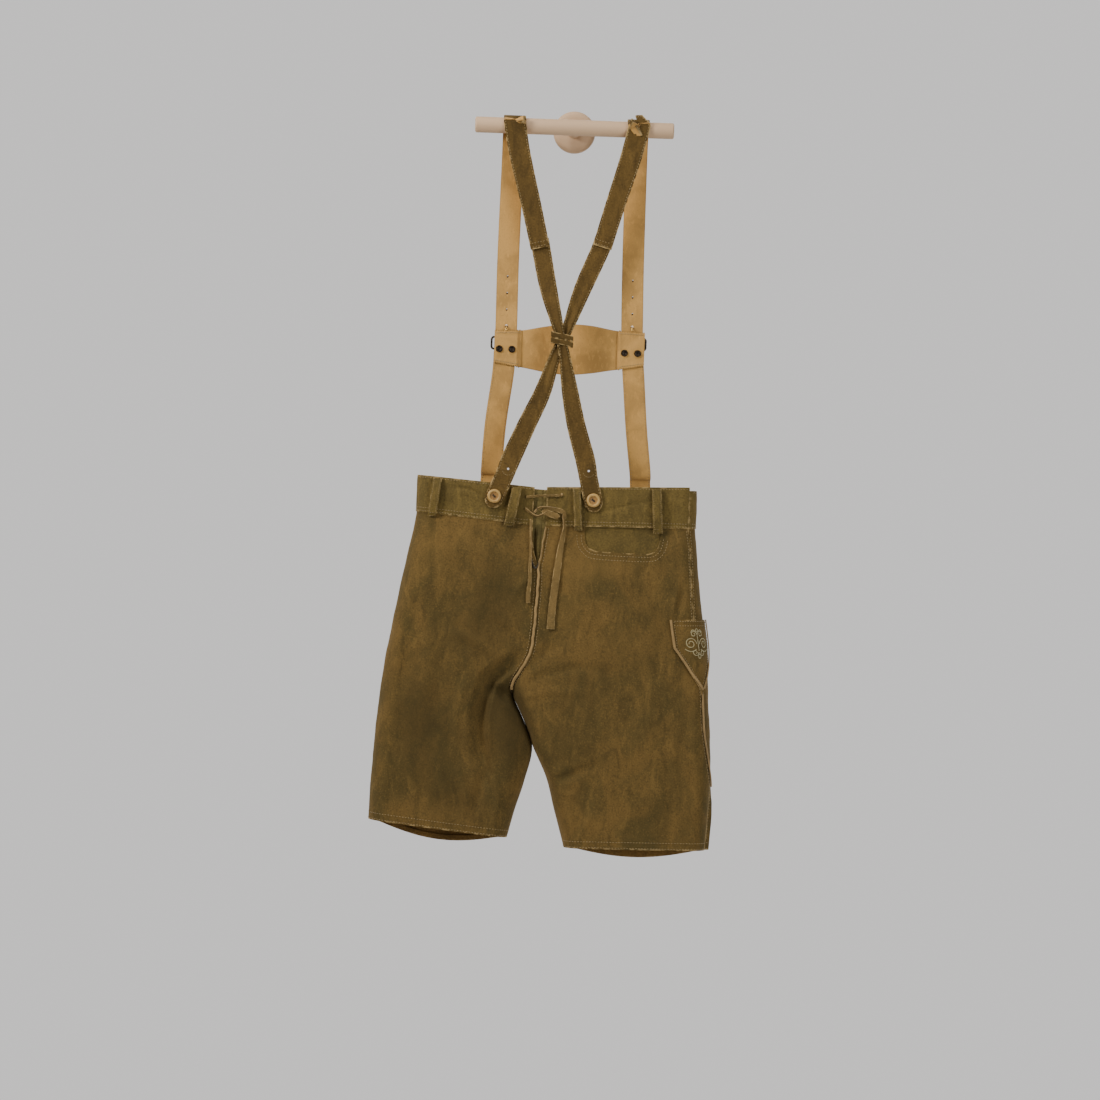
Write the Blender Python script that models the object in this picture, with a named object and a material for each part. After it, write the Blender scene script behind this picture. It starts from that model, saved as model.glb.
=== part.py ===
"""Suede lederhosen that hang by their braces from a wall rail, seen from behind.

Sizes are in millimetres, and become metres where a mesh is made. +X is the right-hand side as seen from
behind, -Y points from the wall into the room and +Z is up. The origin is on the wall, at the centre of the
rail's wall plate, so the rail's bar is level with it.
"""

import math
from collections import namedtuple

import bmesh
import bpy
from mathutils import Matrix, Vector
from mathutils.bvhtree import BVHTree

MM = 0.001
GAP = 0.3

# Walls
PANEL_THICK = 1.8
HEM_THICK = 3.4
BAND_THICK = 3.4
STRAP_THICK = 3.0
TRIM_THICK = 1.6

# The garment hangs round the vertical plane under the rail's bar.
MIDDLE_Y = -75.0
OUTER_ROUND = 26.0
CROWN = 4.0
BAND_PROUD = 1.2
SLIT_SPREAD = 0.5
WAIST_LEVEL = 0.0
VENT_END_LEVEL = 0.14
BAND_TOP_LEVEL = -0.12
CROTCH_LEVEL = 0.52
HEM_TURN_LEVEL = 0.975

# One row for each level of a half of the garment.
# outer: the outline at the side. inner: the centre-back seam, then the inseam below the crotch.
# front_x: the centre-front seam. back, front: how far each face stands off the middle plane.
# closed: 0 where the inner seam lies on the face, 1 where the leg closes round it. inner_round: width of
# that rounding. seam_in: how far the side seam lies in from the outline, on the back if positive.
# front_dip: how much lower the front hangs in mid width. flare: how far the front stands out at the slit.
Row = namedtuple(
    "Row",
    "level outer_x outer_z inner_x inner_z front_x back front closed inner_round seam_in front_dip flare",
)

LEFT_ROWS = (
    Row(-0.12, -217, -531, -41, -544, 6, 24, 21, 0, 30, -12, 0, 0),
    Row(0.00, -218, -585, -42, -600, 6, 26, 23, 0, 30, -12, 0, 0),
    Row(0.07, -222, -612, -40, -635, 5, 30, 27, 0, 30, -12, 0, 0),
    Row(0.14, -228, -640, -31.5, -668, 4, 33, 29, 0, 30, -12, 0, 0),
    Row(0.26, -238, -695, -33, -727, 0, 36, 31, 0, 32, -12, 0, 0),
    Row(0.35, -246, -740, -36, -772, -8, 38, 33, 0, 34, -12, 0, 0),
    Row(0.40, -250, -765, -41, -797, -20, 39, 34, 0.02, 36, -12, 0, 0),
    Row(0.45, -255, -792, -55, -822, -40, 39, 34, 0.15, 38, -12, 0, 0),
    Row(0.49, -259, -816, -65, -842, -58, 39, 34, 0.42, 40, -12, 0, 0),
    Row(0.52, -261, -835, -64, -857, -64, 39, 34, 1, 42, -12, 0, 0),
    Row(0.59, -265, -875, -49, -890, -49, 39, 34, 1, 46, -12, 2, 0),
    Row(0.68, -269.5, -925, -33, -933, -33, 38, 34, 1, 46, -12, 7, 0),
    Row(0.80, -272.5, -980, -42, -988, -42, 37, 33, 1, 40, -12, 12, 0),
    Row(0.89, -274, -1015, -54.5, -1030, -54.5, 36, 33, 1, 34, -12, 17, 0),
    Row(1.00, -275, -1051, -65, -1072, -65, 35, 32, 1, 30, -12, 20, 0),
)

RIGHT_ROWS = (
    Row(-0.12, 202, -536, -23, -543, 6, 24, 21, 0, 30, 10, 0, 0),
    Row(0.00, 203, -597, -23, -600, 6, 26, 23, 0, 30, 11, 0, 0),
    Row(0.07, 205.5, -627, -27, -635, 5, 30, 27, 0, 30, 10, 0, 0),
    Row(0.14, 209, -660, -31.5, -668, 4, 33, 29, 0, 30, 11, 0, 0),
    Row(0.26, 217, -722, -33, -727, 0, 36, 31, 0, 30, 14, 0, 0),
    Row(0.35, 224, -768, -36, -772, -8, 38, 33, 0, 28, 14, 0, 0),
    Row(0.40, 227, -795, -41, -797, -20, 39, 34, 0.02, 26, 13, 0, 0),
    Row(0.45, 229.5, -825, -55, -822, -40, 39, 34, 0.15, 24, 12, 0, 0),
    Row(0.49, 231, -847, -65, -842, -58, 39, 34, 0.42, 22, 11, 0, 0),
    Row(0.52, 232, -862, -64, -857, -64, 39, 34, 1, 20, 11, 0, 0),
    Row(0.55, 233.3, -878.5, -57.3, -871.5, -57.3, 39, 34, 1, 20, 11, 1, 0),
    Row(0.59, 235, -900, -47.9, -890, -47.9, 39, 34, 1, 20, 11, 2, 0),
    Row(0.64, 236.7, -925, -37.6, -914, -37.6, 38.5, 34, 1, 20, 8.5, 4, 0),
    Row(0.68, 238, -945, -31, -933, -31, 38, 34, 1, 20, 6, 6, 0),
    Row(0.78, 239.5, -985, -9, -980, -9, 37, 33, 1, 22, 1.5, 11, 0.5),
    Row(0.89, 237.5, -1030, 4, -1026, 4, 36, 33, 1, 24, 1, 13, 5),
    Row(1.00, 234.5, -1081, 21, -1084, 21, 35, 32, 1, 24, 1, 16, 5),
)

# Large folds of the back: a hand-placed path, its depth (negative is a trough), and its width each side.
Fold = namedtuple("Fold", "path depth width_left width_right")
BACK_FOLDS = (
    Fold(((-48, -806), (-73, -820), (-95, -838), (-103, -865), (-107, -892), (-107, -918), (-103, -946),
          (-96, -975)), -13, 26, 10),
    Fold(((-94, -846), (-78, -857), (-60, -866)), -12, 16, 16),
    Fold(((-100, -975), (-108, -1010), (-118, -1040)), -4, 16, 14),
    Fold(((-142, -975), (-128, -1010), (-106, -1048)), 4, 12, 10),
    Fold(((-176, -960), (-163, -1000), (-152, -1046)), 3, 14, 12),
    Fold(((-60, -835), (-30, -800), (10, -775)), -3, 14, 18),
    Fold(((-4, -985), (25, -975), (60, -958)), -4, 12, 12),
    Fold(((120, -880), (150, -950), (165, -1040)), 4, 26, 24),
    Fold(((-200, -700), (-190, -800), (-205, -900)), 4, 26, 26),
    Fold(((188, -680), (184, -702), (182, -724)), -4, 9, 9),
)
FRONT_FOLDS = (
    Fold(((-70, -850), (-110, -900), (-128, -1000)), -8, 24, 16),
    Fold(((-50, -845), (0, -900), (30, -1000)), -7, 16, 24),
    Fold(((-200, -700), (-185, -850), (-200, -1000)), 4, 28, 28),
    Fold(((165, -700), (150, -850), (165, -1000)), 5, 28, 28),
)


def mixed(a, b, t):
    return a + (b - a) * t


def eased(t):
    t = min(max(t, 0.0), 1.0)
    return t * t * (3 - 2 * t)


def row_at(rows, level):
    """The row at a level, each column on a smooth curve through the table."""
    last = len(rows) - 1
    k = min(max(sum(row.level <= level for row in rows) - 1, 0), last - 1)
    before, a, b, after = rows[max(k - 1, 0)], rows[k], rows[k + 1], rows[min(k + 2, last)]
    span = b.level - a.level
    t = (level - a.level) / span
    values = []
    for p, q, r, s in zip(before, a, b, after):
        slope_a = (r - p) / (b.level - before.level) * span
        slope_b = (s - q) / (after.level - a.level) * span
        values.append(
            (2 * t**3 - 3 * t**2 + 1) * q
            + (t**3 - 2 * t**2 + t) * slope_a
            + (3 * t**2 - 2 * t**3) * r
            + (t**3 - t**2) * slope_b
        )
    row = Row(*values)
    return row._replace(closed=min(max(row.closed, 0.0), 1.0), flare=max(row.flare, 0.0))


def near_path(path, x, z):
    """Distance to a path, on which side of it, and how far along it the nearest place is, from 0 to 1."""
    best = None
    for k in range(len(path) - 1):
        (ax, az), (bx, bz) = path[k], path[k + 1]
        dx, dz = bx - ax, bz - az
        t = min(max(((x - ax) * dx + (z - az) * dz) / (dx * dx + dz * dz), 0.0), 1.0)
        away = math.hypot(x - ax - dx * t, z - az - dz * t)
        if best is None or away < best[0]:
            best = (away, dx * (z - az) - dz * (x - ax), (k + t) / (len(path) - 1))
    return best


def fold_height(folds, x, z):
    height = 0.0
    for fold in folds:
        away, side, along = near_path(fold.path, x, z)
        # A path that runs down the cloth has its left-hand side, as seen, where the product is negative.
        width = fold.width_left if side < 0 else fold.width_right
        if away < width:
            height += fold.depth * (1 - eased(away / width)) * math.sin(math.pi * mixed(0.12, 0.88, along))
    return height


class Half:
    """One half of the garment: the tube of its leg and its half of the seat."""

    OUTER_END = 0.25
    INNER_START = 0.75

    def __init__(self, rows):
        self.rows = rows
        self.inward = 1 if rows[0].outer_x < 0 else -1

    def row(self, level):
        """Between the vent and the crotch, both halves end on one seam: the left one's."""
        row = row_at(self.rows, level)
        if VENT_END_LEVEL <= level <= CROTCH_LEVEL:
            seam = row_at(LEFT_ROWS, level)
            row = row._replace(
                inner_x=seam.inner_x, inner_z=seam.inner_z, front_x=seam.front_x, closed=seam.closed
            )
        return row

    def at(self, level, turn):
        """A point of the cloth's outside. turn is 1 at the back's inner seam, 0 at the outline, -1 at the
        front's inner seam."""
        row = self.row(level)
        back = turn >= 0
        inner_x = row.inner_x if back else row.front_x
        outer_x = row.outer_x if back else row.outer_x - row.flare * self.inward
        width = abs(inner_x - outer_x)
        share = abs(turn)
        inset_end = width - row.inner_round
        if share < self.OUTER_END:
            angle = math.pi / 2 * share / self.OUTER_END
            inset = OUTER_ROUND * (1 - math.cos(angle))
            off = math.sin(angle)
        elif share < self.INNER_START:
            t = (share - self.OUTER_END) / (self.INNER_START - self.OUTER_END)
            inset = mixed(OUTER_ROUND, inset_end, t)
            off = 1.0
        else:
            angle = math.pi / 2 * (1 - share) / (1 - self.INNER_START)
            inset = width - row.inner_round * (1 - math.cos(angle))
            left = (width - inset) / row.inner_round
            shallow = 1 - (1 - left) ** 2
            steep = math.sin(angle)
            off = 1 - row.closed * (1 - mixed(shallow, steep, row.closed**2))
        across = inset / width
        crown = CROWN * math.sin(math.pi * across) ** 2
        x = outer_x + self.inward * inset
        z = mixed(row.outer_z, row.inner_z, across)
        edge = min(1.0, 8 * across, 12 * (1 - across))
        if back:
            fold = fold_height(BACK_FOLDS, x, z) * edge
            return Vector((x, MIDDLE_Y - row.back * off - crown - fold, z))
        z -= row.front_dip * math.sin(math.pi * across)
        fold = fold_height(FRONT_FOLDS, x, z) * edge
        return Vector((x, MIDDLE_Y + row.front * off + crown + fold, z))

    def out(self, level, turn):
        """The way out of the cloth at a point."""
        step_turn, step_level = 0.004, 0.002
        low_turn, high_turn = max(turn - step_turn, -1), min(turn + step_turn, 1)
        if turn >= 0:
            low_turn = max(low_turn, 0)
        low, high = max(level - step_level, self.rows[0].level), min(level + step_level, 1)
        along = self.at(level, high_turn) - self.at(level, low_turn)
        down = self.at(high, turn) - self.at(low, turn)
        return (down.cross(along) * self.inward).normalized()

    def seam_turn(self, level):
        """Where the side seam is on the section."""
        seam_in = self.row(level).seam_in
        angle = math.acos(1 - abs(seam_in) / OUTER_ROUND)
        return math.copysign(self.OUTER_END * angle / (math.pi / 2), seam_in)

    def side_point(self, level, reach):
        """A point at a distance round the section from the side seam, towards the back if positive, and
        the way out there."""
        turn = self.seam_turn(level)
        here = self.at(level, turn)
        step = math.copysign(0.01, reach)
        left = abs(reach)
        while left > 0:
            there = self.at(level, turn + step)
            length = (there - here).length
            share = min(1.0, left / length)
            turn += step * share
            left -= length
            here = there
        return self.at(level, turn), self.out(level, turn)


LEFT, RIGHT = Half(LEFT_ROWS), Half(RIGHT_ROWS)


def material(name, colour, roughness, metallic=0.0):
    made = bpy.data.materials.new(name)
    made.use_nodes = True
    shader = made.node_tree.nodes["Principled BSDF"]
    shader.inputs["Base Color"].default_value = (*colour, 1)
    shader.inputs["Roughness"].default_value = roughness
    shader.inputs["Metallic"].default_value = metallic
    return made


def finish(mesh, name, look):
    """Puts a bmesh in the scene as one named piece, from millimetres to metres."""
    bmesh.ops.scale(mesh, vec=(MM, MM, MM), verts=mesh.verts)
    bmesh.ops.recalc_face_normals(mesh, faces=mesh.faces)
    data = bpy.data.meshes.new(name)
    mesh.to_mesh(data)
    mesh.free()
    data.materials.append(look)
    piece = bpy.data.objects.new(name, data)
    bpy.context.scene.collection.objects.link(piece)
    return piece


def wall(name, look, across, down, place, thickness):
    """A closed cloth wall. place(u, v) gives a point of its face and the way out of it, and thickness(v)
    how far the other face lies behind."""
    mesh = bmesh.new()
    columns, rows = len(across) - 1, len(down) - 1
    bmesh.ops.create_grid(mesh, x_segments=columns, y_segments=rows, size=1)
    cell = mesh.verts.layers.int.new("cell")
    for vertex in mesh.verts:
        column = round((vertex.co.x + 1) / 2 * columns)
        row = round((vertex.co.y + 1) / 2 * rows)
        vertex[cell] = row * len(across) + column
    face = [place(u, v) for v in down for u in across]
    depth = [thickness(v) for v in down for u in across]
    for vertex in mesh.verts:
        vertex.co = face[vertex[cell]][0]
    bmesh.ops.triangulate(mesh, faces=mesh.faces)
    extruded = bmesh.ops.extrude_face_region(mesh, geom=mesh.faces[:])
    for vertex in extruded["geom"]:
        if isinstance(vertex, bmesh.types.BMVert):
            vertex.co -= face[vertex[cell]][1] * depth[vertex[cell]]
    return finish(mesh, name, look)


def even(count, start=0.0, end=1.0):
    return [mixed(start, end, k / count) for k in range(count + 1)]


def panel_thickness(level):
    return HEM_THICK if level > HEM_TURN_LEVEL else PANEL_THICK


def seam_side(half, level, back):
    """Where a panel's side edge is: half a seam gap from the side seam, and further in the hem's slit."""
    gap = GAP / 2 if back else -GAP / 2 - SLIT_SPREAD * half.row(level).flare
    return half.seam_turn(level) + gap / (OUTER_ROUND * math.pi / 2) * Half.OUTER_END


def panel_place(half, back, proud=0.0):
    """place() of a panel: u is 0 at its side seam, 1/4 and 3/4 at the ends of the flat stretch, and 1 at
    its inner seam."""

    def place(u, level):
        edge = seam_side(half, level, back)
        flat_end = Half.OUTER_END if back else -Half.OUTER_END
        if u < Half.OUTER_END:
            turn = mixed(edge, flat_end, u / Half.OUTER_END)
        else:
            turn = u if back else -u
        point, out = half.at(level, turn), half.out(level, turn)
        if u > Half.INNER_START:
            near_seam = (u - Half.INNER_START) / (1 - Half.INNER_START)
            point.x -= half.inward * GAP / 2 * near_seam
        if u == 1 and level >= CROTCH_LEVEL:
            # At the inseam, the back and the front panel stop half a gap from each other.
            point.y += -GAP / 2 if back else GAP / 2
            out = Vector((half.inward, 0, 0))
        elif u == 1:
            # Along the seat seam, the edges of both halves lie in one direction.
            straight = Vector((0, -1 if back else 1, 0))
            out = straight.lerp(out, half.row(level).closed).normalized()
        return point + out * proud, out

    return place


def panels(suede):
    """Front and back of both halves. The left back has the deepest fold, so its columns lie closest."""
    outer, inner = even(3, 0, Half.OUTER_END), even(4, Half.INNER_START, 1)
    flat = (Half.OUTER_END, Half.INNER_START)
    seat_end, folds_end = 0.4, 0.67
    below = (*even(9, seat_end, folds_end), *even(5, folds_end, HEM_TURN_LEVEL), HEM_TURN_LEVEL + 0.002, 1.0)
    levels = sorted({*even(7, WAIST_LEVEL, seat_end), *below})
    fine = outer[:-1] + even(4, flat[0], 0.55)[:-1] + even(5, 0.55, flat[1])[:-1] + even(5, flat[1], 1)
    plain = outer[:-1] + even(6, *flat)[:-1] + inner
    made = {}
    for name, half, back, across in (
        ("back_left_panel", LEFT, True, fine),
        ("back_right_panel", RIGHT, True, plain),
        ("front_left_panel", LEFT, False, plain),
        ("front_right_panel", RIGHT, False, plain),
    ):
        made[name] = wall(name, suede, across, levels, panel_place(half, back), panel_thickness)
    return made


def waistband(suede):
    """Four pieces that stand a little proud of the panels, and end 0.3 mm above them."""
    bottom = WAIST_LEVEL - 0.0008
    outer, inner = even(3, 0, Half.OUTER_END), even(2, Half.INNER_START, 1)
    across = outer[:-1] + even(6, Half.OUTER_END, Half.INNER_START)[:-1] + inner
    made = {}
    for name, half, back in (
        ("waistband_back_left", LEFT, True),
        ("waistband_back_right", RIGHT, True),
        ("waistband_front_left", LEFT, False),
        ("waistband_front_right", RIGHT, False),
    ):
        top = BAND_TOP_LEVEL if back else BAND_TOP_LEVEL + 0.01
        place = panel_place(half, back, BAND_PROUD)
        made[name] = wall(name, suede, across, even(3, top, bottom), place, lambda v: BAND_THICK)
    return made


# Where a piece lies on the cloth, the cloth's own faces say how deep.
class Skin:
    """The outer faces of some pieces, met along Y from the room or from the wall."""

    def __init__(self, pieces, from_room):
        self.out_y = -1 if from_room else 1
        self.trees = [
            BVHTree.FromPolygons(
                [vertex.co.copy() for vertex in piece.data.vertices],
                [tuple(face.vertices) for face in piece.data.polygons],
            )
            for piece in pieces
        ]

    def depth(self, x, z, reach=0.6):
        """The outermost y at x and at x plus and minus reach."""
        start = 300.0 * self.out_y + MIDDLE_Y
        met = []
        for tree in self.trees:
            for offset in (-reach, 0.0, reach):
                hit = tree.ray_cast(Vector((x + offset, start, z)) * MM, Vector((0, -self.out_y, 0)))[0]
                if hit is not None:
                    met.append(hit.y / MM)
        if not met:
            raise ValueError(f"no cloth at x {x:.0f}, z {z:.0f}")
        return min(met) if self.out_y < 0 else max(met)


def laid(name, look, skin, across, down, spot, lift, thickness):
    """A patch on the cloth. spot(u, v) gives its x and z, and lift(v) how far it stands off."""

    def place(u, v):
        x, z = spot(u, v)
        y = skin.depth(x, z) + skin.out_y * (lift(v) + thickness)
        return Vector((x, y, z)), Vector((0, skin.out_y, 0))

    return wall(name, look, across, down, place, lambda v: thickness)


def curve_through(stations, steps):
    """Points on a smooth curve through rows of numbers, with so many steps between two rows."""
    rows = [tuple(station) for station in stations]
    last = len(rows) - 1
    points = []
    for k in range(last):
        before, a, b, after = rows[max(k - 1, 0)], rows[k], rows[k + 1], rows[min(k + 2, last)]
        for step in range(steps):
            t = step / steps
            points.append(
                [
                    (2 * t**3 - 3 * t**2 + 1) * q
                    + (t**3 - 2 * t**2 + t) * (r - p) / 2
                    + (3 * t**2 - 2 * t**3) * r
                    + (t**3 - t**2) * (s - q) / 2
                    for p, q, r, s in zip(before, a, b, after)
                ]
            )
    return points + [list(rows[-1])]


Station = namedtuple("Station", "x y z width")


def strip(name, look, stations, thickness, steps=1):
    """A strap or thong whose middle runs through its stations. It lies flat across X."""
    rows = [Station(*values) for values in curve_through(stations, steps)]
    middles = [Vector(row[:3]) for row in rows]
    frames = []
    for k, row in enumerate(rows):
        along = (middles[min(k + 1, len(rows) - 1)] - middles[max(k - 1, 0)]).normalized()
        sideways = Vector((1, 0, 0)) if abs(along.x) < 0.8 else Vector((0, 0, 1))
        sideways = (sideways - along * sideways.dot(along)).normalized()
        frames.append((sideways, along.cross(sideways).normalized()))

    def place(u, k):
        sideways, face = frames[k]
        return middles[k] + sideways * rows[k].width * (u - 0.5) + face * thickness / 2, face

    return wall(name, look, (0, 1), range(len(rows)), place, lambda k: thickness)


def seam_strip(name, look, half, route, width, lift, thickness):
    """A strip on the cloth's outside. The route's rows are a level and a reach from the side seam."""
    spots = [half.side_point(level, reach) for level, reach in route]
    last = len(spots) - 1

    def place(u, k):
        point, out = spots[k]
        along = spots[min(k + 1, last)][0] - spots[max(k - 1, 0)][0]
        sideways = out.cross(along).normalized()
        return point + sideways * width * (u - 0.5) + out * (lift + thickness), out

    return wall(name, look, (0, 1), range(len(spots)), place, lambda k: thickness)


def turned(name, look, profile, centre, direction, segments=16):
    """A turned piece. The profile's rows are a radius and a height, from the axis back to the axis."""
    mesh = bmesh.new()
    rim = [mesh.verts.new((radius, 0, height)) for radius, height in profile]
    edges = [mesh.edges.new(pair) for pair in zip(rim, rim[1:])]
    bmesh.ops.spin(
        mesh, geom=rim + edges, cent=(0, 0, 0), axis=(0, 0, 1), angle=math.tau, steps=segments, use_merge=True
    )
    bmesh.ops.remove_doubles(mesh, verts=mesh.verts, dist=0.01)
    turn = Vector((0, 0, 1)).rotation_difference(Vector(direction)).to_matrix().to_4x4()
    bmesh.ops.transform(mesh, matrix=Matrix.Translation(centre) @ turn, verts=mesh.verts)
    piece = finish(mesh, name, look)
    piece.data.shade_smooth()
    piece.data.set_sharp_from_angle(angle=math.radians(40))
    return piece


def tube(name, look, points, radius, closed=False):
    """A wire bent through points."""
    path = bpy.data.curves.new(name, "CURVE")
    path.dimensions = "3D"
    path.bevel_depth = radius * MM
    path.bevel_resolution = 1
    path.use_fill_caps = True
    spline = path.splines.new("POLY")
    spline.points.add(len(points) - 1)
    for target, point in zip(spline.points, points):
        target.co = (*(Vector(point) * MM), 1)
    spline.use_cyclic_u = closed
    path.materials.append(look)
    piece = bpy.data.objects.new(name, path)
    bpy.context.scene.collection.objects.link(piece)
    return piece


def cut(piece, outline, near_y, far_y):
    """Cuts a hole of an outline in X and Z through a piece, between two depths."""
    mesh = bmesh.new()
    ring = [mesh.verts.new((x, near_y, z)) for x, z in outline]
    face = mesh.faces.new(ring)
    extruded = bmesh.ops.extrude_face_region(mesh, geom=[face])
    moved = [part for part in extruded["geom"] if isinstance(part, bmesh.types.BMVert)]
    bmesh.ops.translate(mesh, vec=(0, far_y - near_y, 0), verts=moved)
    cutter = finish(mesh, f"{piece.name}.cutter", piece.data.materials[0])
    cutter.hide_render = True
    cutter.display_type = "WIRE"
    hole = piece.modifiers.new(cutter.name, "BOOLEAN")
    hole.object = cutter
    hole.operation = "DIFFERENCE"
    return cutter


def circle(x, z, radius, count=8):
    return [
        (x + radius * math.cos(math.tau * k / count), z + radius * math.sin(math.tau * k / count))
        for k in range(count)
    ]


# Belt loops: middle of the top end, middle of the bottom end, width. They stand off for a belt.
Loop = namedtuple("Loop", "name top_x top_z bottom_x bottom_z width")
BACK_LOOPS = (
    Loop("belt_loop_1", -187, -534.5, -194, -593, 13),
    Loop("belt_loop_2", -67.5, -544.5, -78, -604, 15),
    Loop("belt_loop_3", 21.8, -543.5, 26.5, -607, 11.5),
    Loop("belt_loop_4", 142, -540.5, 146, -607.5, 14.5),
)
FRONT_LOOPS = (
    Loop("belt_loop_front_left", -158, -543, -160, -600, 14),
    Loop("belt_loop_front_right", 168, -547, 170, -606, 14),
)
LOOP_STAND, LOOP_THICK = 6.2, 2.2
LIFT = 0.9

# The back pocket's mouth: a scoop in the right back panel's top edge.
SCOOP = ((35.5, -590), (36, -612), (37.5, -624), (43, -632.5), (54, -637), (95, -638.5), (132, -638.5),
         (142, -635), (147.5, -627), (150, -613), (151, -590))


def belt_loops(suede, back, front):
    for loops, skin in ((BACK_LOOPS, back), (FRONT_LOOPS, front)):
        for loop in loops:

            def spot(u, v, loop=loop):
                x = mixed(loop.top_x, loop.bottom_x, v) + loop.width * (u - 0.5)
                return x, mixed(loop.top_z, loop.bottom_z, v)

            laid(
                loop.name,
                suede,
                skin,
                (0, 0.5, 1),
                (0, 0.08, 0.3, 0.6, 0.86, 0.93, 1),
                spot,
                lambda v: LIFT + LOOP_STAND * math.sin(math.pi * v) ** 0.6 if 0 < v < 1 else LIFT,
                LOOP_THICK,
            )


def pocket_facing(look, panel):
    """The facing lies behind the panel, and shows in the scoop."""
    face = Skin([panel], True)
    behind = PANEL_THICK + TRIM_THICK + 0.5

    def spot(u, v):
        return mixed(27, 159, u), mixed(-601.6, -649, v)

    laid("back_pocket_facing", look, face, even(6), even(3), spot, lambda v: -behind, TRIM_THICK)
    cut(panel, SCOOP, -140, -92)


def gusset(look):
    """The wedge behind the vent, let in from the waistband's top to the vent's end."""
    margin, drop = 6.0, 4.0
    behind = BAND_THICK - BAND_PROUD + 0.7

    def place(u, level):
        left, right = LEFT.at(level, 1), RIGHT.at(level, 1)
        x = mixed(left.x - margin, right.x + margin, u)
        y = max(left.y, right.y) + behind
        return Vector((x, y, mixed(left.z, right.z, u) - (drop if level < 0 else 0))), Vector((0, -1, 0))

    wall("back_gusset", look, (0, 0.5, 1), (BAND_TOP_LEVEL, 0, 0.07, 0.15), place, lambda v: TRIM_THICK)


KNIFE_TOP, KNIFE_CORNER, KNIFE_TIP = 0.285, 0.368, 0.475
KNIFE_HALF, KNIFE_POINT = 38.0, 3.0
SLIT_TOP = 0.78
PIPING_WIDTH, PIPING_THICK = 4.5, 1.4


def knife_pocket(suede, beige):
    """A pointed patch over the right side seam, with piping down its edges."""

    def half_width(level):
        if level <= KNIFE_CORNER:
            return KNIFE_HALF
        return mixed(KNIFE_HALF, KNIFE_POINT, (level - KNIFE_CORNER) / (KNIFE_TIP - KNIFE_CORNER))

    def place(u, level):
        point, out = RIGHT.side_point(level, u * half_width(level))
        return point + out * (LIFT + TRIM_THICK), out

    down = even(3, KNIFE_TOP, KNIFE_CORNER)[:-1] + even(4, KNIFE_CORNER, KNIFE_TIP)
    wall("knife_pocket", suede, even(12, -1, 1), down, place, lambda v: TRIM_THICK)
    edge = PIPING_WIDTH / 2
    back_side = [(level, half_width(level) - edge) for level in down[:-1]] + [(KNIFE_TIP, 0)]
    lift = LIFT + TRIM_THICK + GAP + 0.3
    seam_strip("knife_pocket_piping_back", beige, RIGHT, back_side, PIPING_WIDTH, lift, PIPING_THICK)
    front_side = [(level, -reach) for level, reach in back_side[:-1]]
    seam_strip("knife_pocket_piping_front", beige, RIGHT, front_side, PIPING_WIDTH, lift, PIPING_THICK)


def piping(beige, back):
    """Beige strips over the seat seam and down both side seams."""

    def seat(u, level):
        seam = RIGHT.at(level, 1)
        half = PIPING_WIDTH / 2
        y = back.depth(seam.x, seam.z, half + 0.6) - LIFT - PIPING_THICK
        return Vector((seam.x + PIPING_WIDTH * (u - 0.5), y, seam.z)), Vector((0, -1, 0))

    levels = even(3, 0.006, VENT_END_LEVEL)[:-1] + even(5, VENT_END_LEVEL, 0.40)[:-1] + even(6, 0.40, 0.505)
    wall("seat_piping", beige, (0, 1), levels, seat, lambda v: PIPING_THICK)
    right = [(level, 0) for level in even(6, KNIFE_TIP + 0.012, SLIT_TOP)]
    seam_strip("side_piping_right", beige, RIGHT, right, PIPING_WIDTH, LIFT, PIPING_THICK)
    left = [(level, 0) for level in even(8, KNIFE_TIP, 0.96)]
    seam_strip("side_piping_left", beige, LEFT, left, PIPING_WIDTH, LIFT, PIPING_THICK)


BUTTON_PROFILE = ((0, 1.4), (3.6, 1.4), (4.4, 3.4), (7.6, 4.2), (9.6, 3.4), (10.5, 2.0), (9.9, 0.5), (7.5, 0),
                  (0, 0))
FLAP_THICK = 2.2
SNAP_PROFILE = ((0, 0.9), (2.2, 0.9), (2.8, 2.2), (4.3, 2.4), (5.3, 1.4), (5.3, 0), (0, 0))


def fall(suede, bone, front):
    """The front flap, and the buttons of its two upper corners."""
    left, right, top, bottom = -58, 70, -552, -716

    def spot(u, v):
        narrowing = 8 * eased(v)
        return mixed(left + narrowing, right - narrowing, u), mixed(top, bottom, v)

    laid("fall_flap", suede, front, even(6), even(6), spot, lambda v: LIFT, FLAP_THICK)
    for name, x in (("fall_button_left", left + 16), ("fall_button_right", right - 16)):
        y = front.depth(x, top - 16, 10) + LIFT + FLAP_THICK + GAP
        turned(name, bone, BUTTON_PROFILE, (x, y + GAP, top - 16), (0, 1, 0))


BAR_RADIUS = 12.0
STRAP_CLEAR = 0.9


def over_bar(start_x, end_x):
    """Stations of a strap over the rail's bar, from the wall's side to the room's."""
    radius = BAR_RADIUS + STRAP_CLEAR + STRAP_THICK / 2
    return [
        Station(
            mixed(start_x, end_x, turn),
            MIDDLE_Y + radius * math.cos(math.pi * turn),
            radius * math.sin(math.pi * turn),
            33,
        )
        for turn in even(8)
    ]


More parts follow.
